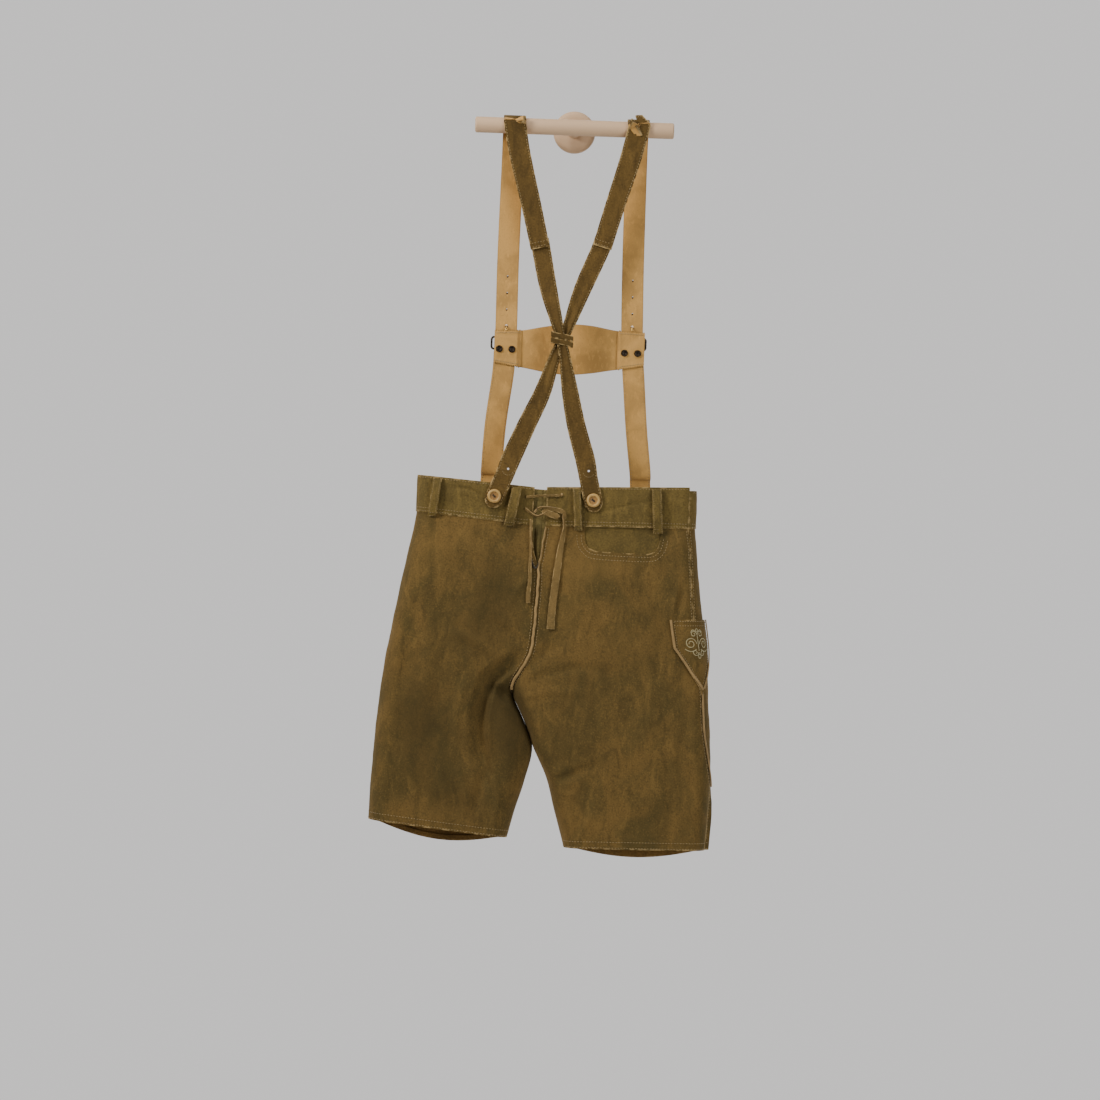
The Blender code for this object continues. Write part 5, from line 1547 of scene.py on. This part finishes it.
def make_chest():
    """The bar, its two tabs folded back over the straps, their press studs, and the buckles."""
    points = chest_grid(0, 8, 130, 26, CHEST_Y)
    points[..., 1] += -fold_height(CHEST_FOLDS, points[..., 0], points[..., 2]) + ripple(points, 30, 0.5)
    sheet = Sheet(points, (0, 1, 0))
    piece = leather("chest_band", sheet, CHEST_THICK, BRACE, "flesh_side", "chest_bar", wear=1.6)
    declared(sheet)
    tab_y = -61 - STRAP_THICK / 2 - GAP - TAB_THICK
    for side, first in (("left", 0), ("right", 6)):
        points = chest_grid(first, first + 2, 85, 22, tab_y, 1.5)
        past_strap = (points[..., 0] + 76.5) / 7 if side == "left" else (80.5 - points[..., 0]) / 7
        points[..., 1] += TAB_DIP * eased(past_strap)
        sheet = Sheet(points, (0, -1, 0)).moved(ripple(points, 18, 0.3))
        piece = leather(f"chest_fold_{side}", sheet, TAB_THICK, FLESH, "flesh_side", f"chest_tab_{side}",
                        edge=0.3,
                        wear=1.4)
        # The cut is measured without the pinking, whose zigzag is longer than the tab.
        declared(Sheet(chest_grid(first, first + 2, 85, 22, tab_y), (0, -1, 0)))
        SHEETS[f"chest_fold_{side}"] = sheet
        for number, x in enumerate(STUDS[side], 1):
            turned(f"snap_{side}_{number}", SNAP_PROFILE, (x, tab_y - GAP, -336.5), (0, -1, 0),
                   ("dark metal",),
                   "antique_metal", f"stud_{side}_{number}", segments=32)
        make_buckle(side, *BUCKLES[side])


def make_buckle(side, x, z, hole_z):
    """A wire frame outside the chest bar, and its prong, which comes up through the strap's hole."""
    half_width, half_height, corner, gauge = 21.5, 9.0, 4.0, sizes().wire / MM
    y = CHEST_Y + GAP + gauge
    ring = []
    for quarter, (sx, sz) in enumerate(((1, 1), (-1, 1), (-1, -1), (1, -1))):
        for step in range(9):
            angle = math.pi / 2 * (quarter + step / 8)
            ring.append(
                (
                    x + sx * (half_width - corner) + corner * math.cos(angle),
                    y,
                    z + sz * (half_height - corner) + corner * math.sin(angle),
                )
            )
    wire(f"buckle_frame_{side}", ring, gauge, "dark metal", "antique_metal", f"buckle_{side}", closed=True)
    rest = y + gauge + GAP + 1.1
    prong = smooth_path(
        (
            (x, y, z - half_height + gauge + GAP + 1.2, 1.1),
            (x, rest, z - 2, 1.1),
            (x, rest, z + half_height + 1.5, 1.1),
            (x, y - 1.5, hole_z - 1.5, 1.1),
            (x, -61, hole_z, 1.0),
            (x, -65.4, hole_z - 2.5, 1.0),
            (x, -67.0, hole_z - 7.5, 0.8),
        ),
        8,
    )
    wire(f"buckle_tongue_{side}", prong[:, :3], prong[:, 3], "brass", "brass_wire", f"prong_{side}")


# ---------------------------------------------------------------------------- front flap, lace and rail


FALL_THICK, FALL_BUTTON_INSET = 2.2, 16


def make_fall():
    """The front flap, and the buttons of its two upper corners."""
    left, right, top, bottom = -58, 70, -552, -716
    v, u = np.linspace(0, 1, 70)[:, None], np.linspace(0, 1, 60)[None, :]
    narrowing = 8 * eased(v)
    x, z = mixed(left + narrowing, right - narrowing, u), mixed(top, bottom, v) + 0 * u
    y = FRONT.laid(x, z, 1.5) + LIFT + FALL_THICK
    points = np.stack((x, y, z), -1)
    sheet = Sheet(points, (0, 1, 0)).moved(ripple(points, 26, 0.5, 4.0) + 0.3)
    piece = leather("front_fall", sheet, FALL_THICK, SUEDE, "suede", "fall_flap", wear=2.0)
    declared(sheet)
    SHEETS["fall"] = sheet
    z = top - FALL_BUTTON_INSET
    for side, x in (("left", left + FALL_BUTTON_INSET), ("right", right - FALL_BUTTON_INSET)):
        y = FRONT.depth(x, z, 10) + LIFT + FALL_THICK + 2 * GAP
        make_button(f"horn_fall_{side}", f"fall_button_{side}", x, y, z, 1)


def lace_stations(rows):
    """Stations of a thong from x, z, width and how far its middle stands off the back."""
    return [Station(x, BACK.depth(x, z, 16) - off, z, width) for x, z, width, off in rows]


LACE_BAR = ((-53.5, -559.2, 4, 1.7), (-40, -557.5, 4.2, 2.3), (-20, -556, 4.2, 2.4), (-2, -555, 4, 1.7))
# The knot: a thong on its edge that comes in from the left, one that goes over it into the right tail, and
# a twisted piece between them.
LACE_LOOP = ((-54.2, -576.4, 4.5, 2.5), (-44.9, -583.3, 4.8, 4.2), (-35.7, -587.4, 5, 5.6),
             (-26.9, -584.1, 5, 6.4),
             (-20.7, -580.5, 5, 6.8))
LACE_OVER = ((-40.4, -582.2, 4.5, 6.6), (-36.1, -576.6, 4.5, 7.8), (-29.9, -574.1, 4.5, 8.6),
             (-20.9, -574.3, 5, 8.8),
             (-10, -576.3, 6.5, 8.0), (-0.9, -578.5, 7, 6.6), (4.3, -582.4, 6.5, 5.4), (4.5, -590, 6, 4.8))
LACE_TWIST = ((-28.5, -578.5, 5, 6.6), (-24, -580.5, 8.5, 7.4), (-16, -583.6, 9.5, 7.6), (-8.5, -586, 9, 6.6),
              (-3.8, -588.7, 7, 5.4))
LACE_LEFT = ((-45.9, -592, 4.8, 4.2), (-45.3, -613.9, 5, 3.2), (-44.1, -640.8, 5.5, 2.8),
             (-44.1, -658.8, 5.5, 2.6),
             (-43.7, -685.8, 6, 2.6), (-45.2, -703.9, 6.8, 2.6), (-44.9, -718, 7, 2.6))
LACE_RIGHT = ((4.2, -586, 6.2, 5.2), (4.6, -594, 6, 4.8), (5.2, -603, 5.5, 4.2), (3.2, -619.4, 7.5, 3.6),
              (0, -639.3, 9.5, 3.0), (-1.9, -657.4, 10.5, 2.6), (-4, -675.4, 11, 2.6),
              (-9, -727.8, 11.5, 2.6),
              (-10, -756, 12, 2.6))
VENT_KNOT = ((-42.5, -652), (-41, -658.5), (-36.5, -665.5), (-32.2, -661), (-30.5, -656))
LACE = ("lace leather", "beige leather", "beige leather")


def make_lace():
    """The thong that laces the vent: a bar across, a bow-like knot and two free tails."""
    trim = sizes().trim / MM
    for name, rows, node, twist in (
        ("lace_across", LACE_BAR, "lace_bar", ((0, 10), (0.5, 18), (1, 0))),
        ("lace_loop", LACE_LOOP, "lace_bow", ((0, 52), (0.5, 60), (1, 48))),
        ("lace_over", LACE_OVER, None, ((0, 55), (0.3, 62), (0.55, 30), (0.8, -25), (1, -40))),
        ("lace_twist", LACE_TWIST, None, ((0, -30), (0.4, 4), (0.7, -8), (1, 30))),
        ("lace_end_left", LACE_LEFT, "lace_tail_left", ((0, 62), (0.2, 58), (0.5, 42), (0.75, 12), (1, 0))),
        ("lace_end_right", LACE_RIGHT, "lace_tail_right",
         ((0, -42), (0.12, -62), (0.24, -58), (0.4, -16), (1, 0))),
    ):
        sheet = ribbon(lace_stations(rows), trim, steps=12, columns=9, crown=0.25, twist=twist)
        nodes = (node,) if node else ()
        leather(name, sheet, trim, LACE, "beige_leather", *nodes, edge=0.35, wear=1.1)
    for name, rows, width, others in (
        ("lace_end_left", LACE_LEFT, 6.0, ("lace_across",)),
        ("lace_end_right", LACE_RIGHT, 12.0, ("lace_loop", "lace_over", "lace_twist")),
    ):
        path = smooth_path(lace_stations(rows), 5)[:, :3] * MM
    knot = smooth_path(VENT_KNOT, 6)
    knot = [(x, BACK.depth(x, z, 16) - 1.2, z) for x, z in knot]
    wire("vent_knot", knot, 1.1, "dark thread", "beige_leather")
    bead = bmesh.new()
    centre = Vector((-0.3, BACK.depth(-0.3, -554, 1) - 1.4, -554))
    bmesh.ops.create_icosphere(
        bead, subdivisions=2, radius=1.9, matrix=Matrix.Translation(centre) @ Matrix.Diagonal((1, 0.8, 1.3,
                                                                                               1))
    )
    finished(bead, "lace_bead", ("beige leather",), "beige_leather")


def make_rail():
    """A plain rail: a wall plate, a stem and a bar."""
    plate = ((0, 10), (22, 10), (26, 9.7), (29, 8.6), (31, 6.9), (32, 5), (32, 0.6), (31.4, 0), (0, 0))
    turned("rail_rose", plate, (0, 0, 0), (0, -1, 0), ("beech",), "beech", "wall_plate", segments=96,
           sharp=50)
    stem_length = -MIDDLE_Y - BAR_RADIUS - PLATE_DEPTH - 2 * GAP
    stem = ((0, stem_length), (9, stem_length), (9, 2), (9.8, 1), (10.2, 0), (0, 0))
    turned("rail_arm", stem, (0, -PLATE_DEPTH - GAP, 0), (0, -1, 0), ("beech",), "beech", "rail_stem",
           segments=48)
    half = 150
    end = [(9 + 3 * math.sin(a), half - 3 + 3 * math.cos(a)) for a in np.linspace(0, math.pi / 2, 7)]
    bar = [(0, half), *end, *[(radius, -height) for radius, height in reversed(end)], (0, -half)]
    turned("rail_rod", bar, (0, MIDDLE_Y, 0), (1, 0, 0), ("beech",), "beech", "rail_bar", segments=64)


# ---------------------------------------------------------------------------- seams


def arc_path(x, z, radius, start, end, count=14):
    angles = np.radians(np.linspace(start, end, count))
    return [(x + radius * math.cos(a), z + radius * math.sin(a)) for a in angles]


def offset_outline(outline, out):
    """An outline in X and Z moved sideways, away from the side that it turns round."""
    path = smooth_path(outline, 6)
    along = unit(np.gradient(path, axis=0))
    return path + np.stack((along[:, 1], -along[:, 0]), -1) * out


# The seat's stitches end above the crotch.
SEAT_STITCH_END = -846


def make_seams():
    """Rows of stitches, each garment piece's in one mesh."""
    hems, bands, loops, straps = [], [], [], []
    for name in ("back_left", "back_right", "front_left", "front_right"):
        sheet, band = SHEETS[name], SHEETS["band_" + name]
        hems += [sheet.run("bottom", 11.0, 2, 2), sheet.run("bottom", 2.2, 2, 2)]
        bands += [band.run("top", 3.0, 3, 3), band.run("bottom", 2.4, 3, 3), band.run("bottom", 7.0, 3, 3)]
    sewn("stitches_hems", hems)
    sewn("stitches_waistband", bands)
    for loop in BACK_LOOPS + FRONT_LOOPS:
        sheet = SHEETS[loop.name]
        loops += [sheet.run("left", 2.0, 1, 1), sheet.run("right", 2.0, 1, 1)]
        loops += [sheet.run("bottom", inset, 1.5, 1.5) for inset in (1.4, 7.5)]
    sewn("stitches_loops", loops, length=2.3, gap=1.0, radius=0.32)
    for name in ("brace_upper_left", "brace_upper_right", "brace_lower_left", "brace_lower_right",
                 "brace_back_from_left", "brace_back_from_right"):
        straps += strap_runs(SHEETS[name])
    for side in ("left", "right"):
        straps += [SHEETS[f"brace_upper_{side}"].run("bottom", inset, 2, 2) for inset in (3.0, 9.0)]
    sewn("stitches_braces", straps)
    mouth = [offset_outline(SCOOP[1:-1], 5.0), offset_outline(SCOOP[1:-1], 11.5)]
    pocket = [BACK.follow([place for place in path if place[1] < -606], 1) for path in mouth]
    sewn("stitches_back_pocket", pocket)
    knife = SHEETS["knife"]
    sides = [knife.run("top", inset, 5, 5) for inset in (2.4, 9.0)]
    sides += [knife.run(side, 6.4, 2, 4) for side in ("left", "right")]
    sewn("stitches_side_pocket", sides, length=2.6)
    fall = SHEETS["fall"]
    sewn("stitches_fall", [fall.run(side, inset, 3, 3) for side in ("left", "right", "bottom", "top")
                           for inset in (2.6, 7.0)])
    panels = ("back_right", "back_left", "front_left", "front_right")
    sewn("stitches_side_seams", [SHEETS[name].run("left", 3.4, 4, 14) for name in panels])
    seat = []
    for name in ("back_left", "back_right"):
        points, outs = SHEETS[name].run("right", 5.2, 4, 4)
        kept = points[:, 2] > SEAT_STITCH_END
        seat.append((points[kept], outs[kept]))
    sewn("stitches_seat", seat)
    tabs = [SHEETS[f"chest_fold_{side}"].run(edge, 3.6, 3, 3) for side in ("left", "right")
            for edge in ("top", "bottom")]
    sewn("stitches_chest", tabs)
    holes = []
    for x, z in SPARE_HOLES.values():
        arc = arc_path(x, z - 1, 8.5, 195, 345)
        points = np.array([(px, -110.0, pz) for px, pz in arc])
        for k, (px, pz) in enumerate(arc):
            points[k, 1] = strap_depth(px, pz)
        holes.append((points, np.tile((0.0, -1.0, 0.0), (len(points), 1))))
    sewn("stitches_buttonholes", holes, length=2.2, gap=0.9)


def strap_depth(x, z):
    trees = [SHEETS[f"brace_back_{side}"].tree() for side in BACK_STRAPS]
    met = [tree.ray_cast(Vector((x, -300, z)), Vector((0, 1, 0)))[0] for tree in trees]
    found = [hit.y for hit in met if hit is not None]
    if not found:
        raise ValueError(f"no strap at x {x:.0f}, z {z:.0f}")
    return min(found)


# ---------------------------------------------------------------------------- stage

AIM = Vector((-0.015, -0.105, -0.6375))
LENS, DISTANCE, FLOOR_Z = 135, 6.19, -1.9


def area_light(name, place, target, size, power, colour):
    data = bpy.data.lights.new(name, "AREA")
    data.shape = "DISK"
    data.size = size
    data.energy = power
    data.color = colour
    light = bpy.data.objects.new(name, data)
    light.location = place
    light.rotation_euler = (Vector(target) - Vector(place)).to_track_quat("-Z", "Y").to_euler()
    bpy.context.scene.collection.objects.link(light)


def make_stage():
    """Floor, soft light and camera."""
    data = bpy.data.cameras.new("camera")
    data.lens = LENS
    data.sensor_width = 36
    data.clip_end = 20
    camera = bpy.data.objects.new("camera", data)
    camera.location = AIM - Vector((0, DISTANCE, 0))
    # The camera leans two degrees, so that the rail's level line runs down to the right.
    camera.rotation_euler = (math.pi / 2, math.radians(-2), 0)
    bpy.context.scene.collection.objects.link(camera)
    bpy.context.scene.camera = camera

    mesh = bmesh.new()
    bmesh.ops.create_grid(mesh, x_segments=1, y_segments=1, size=1.3,
                          matrix=Matrix.Translation((0, 0, FLOOR_Z)))
    data = bpy.data.meshes.new("floor")
    mesh.to_mesh(data)
    mesh.free()
    look = Look("floor", 0.8)
    look.colour(look.mix(srgb(226, 224, 221), srgb(216, 214, 211), look.range(look.noise(3, 3), 0.4, 0.6)))
    data.materials.append(look.material)
    floor = bpy.data.objects.new("floor", data)
    bpy.context.scene.collection.objects.link(floor)

    make_world()
    centre = (0, -0.08, -0.65)
    area_light("key", (-2.1, -1.5, 0.75), centre, 0.9, 78, (1, 0.98, 0.95))
    area_light("fill", (1.5, -2.2, -0.4), centre, 1.6, 38, (0.94, 0.97, 1))
    area_light("top", (-0.3, -0.7, 1.3), centre, 0.8, 14, (1, 1, 1))
    area_light("wall side", (0.5, 1.9, 0.4), centre, 1.6, 36, (1, 0.99, 0.97))


def make_world():
    """Even light from all round, brighter on the wall's side."""
    world = bpy.data.worlds.new("studio")
    world.use_nodes = True
    nodes, links = world.node_tree.nodes, world.node_tree.links
    way = nodes.new("ShaderNodeTexCoord")
    parts = nodes.new("ShaderNodeSeparateXYZ")
    links.new(way.outputs["Generated"], parts.inputs["Vector"])
    share = nodes.new("ShaderNodeMapRange")
    share.interpolation_type = "SMOOTHSTEP"
    share.inputs["From Min"].default_value = -0.4
    share.inputs["From Max"].default_value = 0.5
    links.new(parts.outputs["Y"], share.inputs["Value"])
    blend = nodes.new("ShaderNodeMix")
    blend.data_type = "RGBA"
    links.new(share.outputs["Result"], blend.inputs[0])
    blend.inputs[6].default_value = (*srgb(128, 129, 133), 1)
    blend.inputs[7].default_value = (*srgb(233, 231, 230), 1)
    links.new(blend.outputs[2], nodes["Background"].inputs["Color"])
    nodes["Background"].inputs["Strength"].default_value = 1.0
    bpy.context.scene.world = world


# ---------------------------------------------------------------------------- operators and panel


class Step:
    """What all the operators do: run their makers in order."""

    makers = ()

    def execute(self, context):
        for make in self.makers:
            make()
        return {"FINISHED"}


class LEDERHOSEN_OT_looks(Step, bpy.types.Operator):
    """Mix the materials of all pieces"""

    bl_idname = "lederhosen.looks"
    bl_label = "Mix Looks"
    makers = (make_looks,)


class LEDERHOSEN_OT_stage(Step, bpy.types.Operator):
    """Make the floor, the lights and the camera"""

    bl_idname = "lederhosen.stage"
    bl_label = "Make Stage"
    makers = (make_stage,)


class LEDERHOSEN_OT_panels(Step, bpy.types.Operator):
    """Make the two back and the two front panels"""

    bl_idname = "lederhosen.panels"
    bl_label = "Make Panels"
    makers = (make_panels,)


class LEDERHOSEN_OT_waistband(Step, bpy.types.Operator):
    """Make the waistband's four pieces"""

    bl_idname = "lederhosen.waistband"
    bl_label = "Make Waistband"
    makers = (make_waistband,)


class LEDERHOSEN_OT_facing(Step, bpy.types.Operator):
    """Make the back pocket's facing and the gusset behind the vent"""

    bl_idname = "lederhosen.facing"
    bl_label = "Make Facing and Gusset"
    makers = (make_facing,)


class LEDERHOSEN_OT_loops(Step, bpy.types.Operator):
    """Make the belt loops"""

    bl_idname = "lederhosen.loops"
    bl_label = "Make Belt Loops"
    makers = (make_loops,)


class LEDERHOSEN_OT_knife_pocket(Step, bpy.types.Operator):
    """Make the knife pocket and its embroidery"""

    bl_idname = "lederhosen.knife_pocket"
    bl_label = "Make Knife Pocket"
    makers = (make_knife_pocket, make_embroidery)


class LEDERHOSEN_OT_piping(Step, bpy.types.Operator):
    """Make the piping of the seat, the side seams and the knife pocket"""

    bl_idname = "lederhosen.piping"
    bl_label = "Make Piping"
    makers = (make_piping,)


class LEDERHOSEN_OT_fall(Step, bpy.types.Operator):
    """Make the front flap and its buttons"""

    bl_idname = "lederhosen.fall"
    bl_label = "Make Front Flap"
    makers = (make_fall,)


class LEDERHOSEN_OT_braces(Step, bpy.types.Operator):
    """Make the braces, their buttons and the keeper at their crossing"""

    bl_idname = "lederhosen.braces"
    bl_label = "Make Braces"
    makers = (make_upper_straps, make_lower_straps, make_back_straps, make_keeper)


class LEDERHOSEN_OT_chest(Step, bpy.types.Operator):
    """Make the chest bar with its tabs, press studs and buckles"""

    bl_idname = "lederhosen.chest"
    bl_label = "Make Chest Bar"
    makers = (make_chest,)


class LEDERHOSEN_OT_lace(Step, bpy.types.Operator):
    """Make the lace of the vent"""

    bl_idname = "lederhosen.lace"
    bl_label = "Make Lace"
    makers = (make_lace,)


class LEDERHOSEN_OT_rail(Step, bpy.types.Operator):
    """Make the rail that holds the garment"""

    bl_idname = "lederhosen.rail"
    bl_label = "Make Rail"
    makers = (make_rail,)


class LEDERHOSEN_OT_seams(Step, bpy.types.Operator):
    """Sew all rows of stitches"""

    bl_idname = "lederhosen.seams"
    bl_label = "Sew Seams"
    makers = (make_seams,)


OPERATORS = (
    LEDERHOSEN_OT_looks,
    LEDERHOSEN_OT_stage,
    LEDERHOSEN_OT_panels,
    LEDERHOSEN_OT_waistband,
    LEDERHOSEN_OT_facing,
    LEDERHOSEN_OT_loops,
    LEDERHOSEN_OT_knife_pocket,
    LEDERHOSEN_OT_piping,
    LEDERHOSEN_OT_fall,
    LEDERHOSEN_OT_braces,
    LEDERHOSEN_OT_chest,
    LEDERHOSEN_OT_lace,
    LEDERHOSEN_OT_rail,
    LEDERHOSEN_OT_seams,
)


class LEDERHOSEN_PT_panel(bpy.types.Panel):
    """The sizes, the colours and one button for each step"""

    bl_idname = "LEDERHOSEN_PT_panel"
    bl_label = "Lederhosen"
    bl_space_type = "VIEW_3D"
    bl_region_type = "UI"
    bl_category = "Lederhosen"

    def draw(self, context):
        column = self.layout.column(align=True)
        for group in (context.scene.lederhosen_sizes, context.scene.lederhosen_colours):
            for name in group.__annotations__:
                column.prop(group, name)
            column.separator()
        for step in OPERATORS:
            column.operator(step.bl_idname)


CLASSES = (LederhosenSizes, LederhosenColours, *OPERATORS, LEDERHOSEN_PT_panel)


def register():
    for one_class in CLASSES:
        bpy.utils.register_class(one_class)
    bpy.types.Scene.lederhosen_sizes = PointerProperty(type=LederhosenSizes)
    bpy.types.Scene.lederhosen_colours = PointerProperty(type=LederhosenColours)


def unregister():
    del bpy.types.Scene.lederhosen_colours
    del bpy.types.Scene.lederhosen_sizes
    for one_class in reversed(CLASSES):
        bpy.utils.unregister_class(one_class)


def main():
    register()
    bpy.ops.lederhosen.looks()
    bpy.ops.lederhosen.stage()
    bpy.ops.lederhosen.panels()
    bpy.ops.lederhosen.waistband()
    bpy.ops.lederhosen.facing()
    bpy.ops.lederhosen.loops()
    bpy.ops.lederhosen.knife_pocket()
    bpy.ops.lederhosen.piping()
    bpy.ops.lederhosen.fall()
    bpy.ops.lederhosen.braces()
    bpy.ops.lederhosen.chest()
    bpy.ops.lederhosen.lace()
    bpy.ops.lederhosen.rail()
    bpy.ops.lederhosen.seams()
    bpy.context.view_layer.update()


if __name__ == "__main__":
    main()
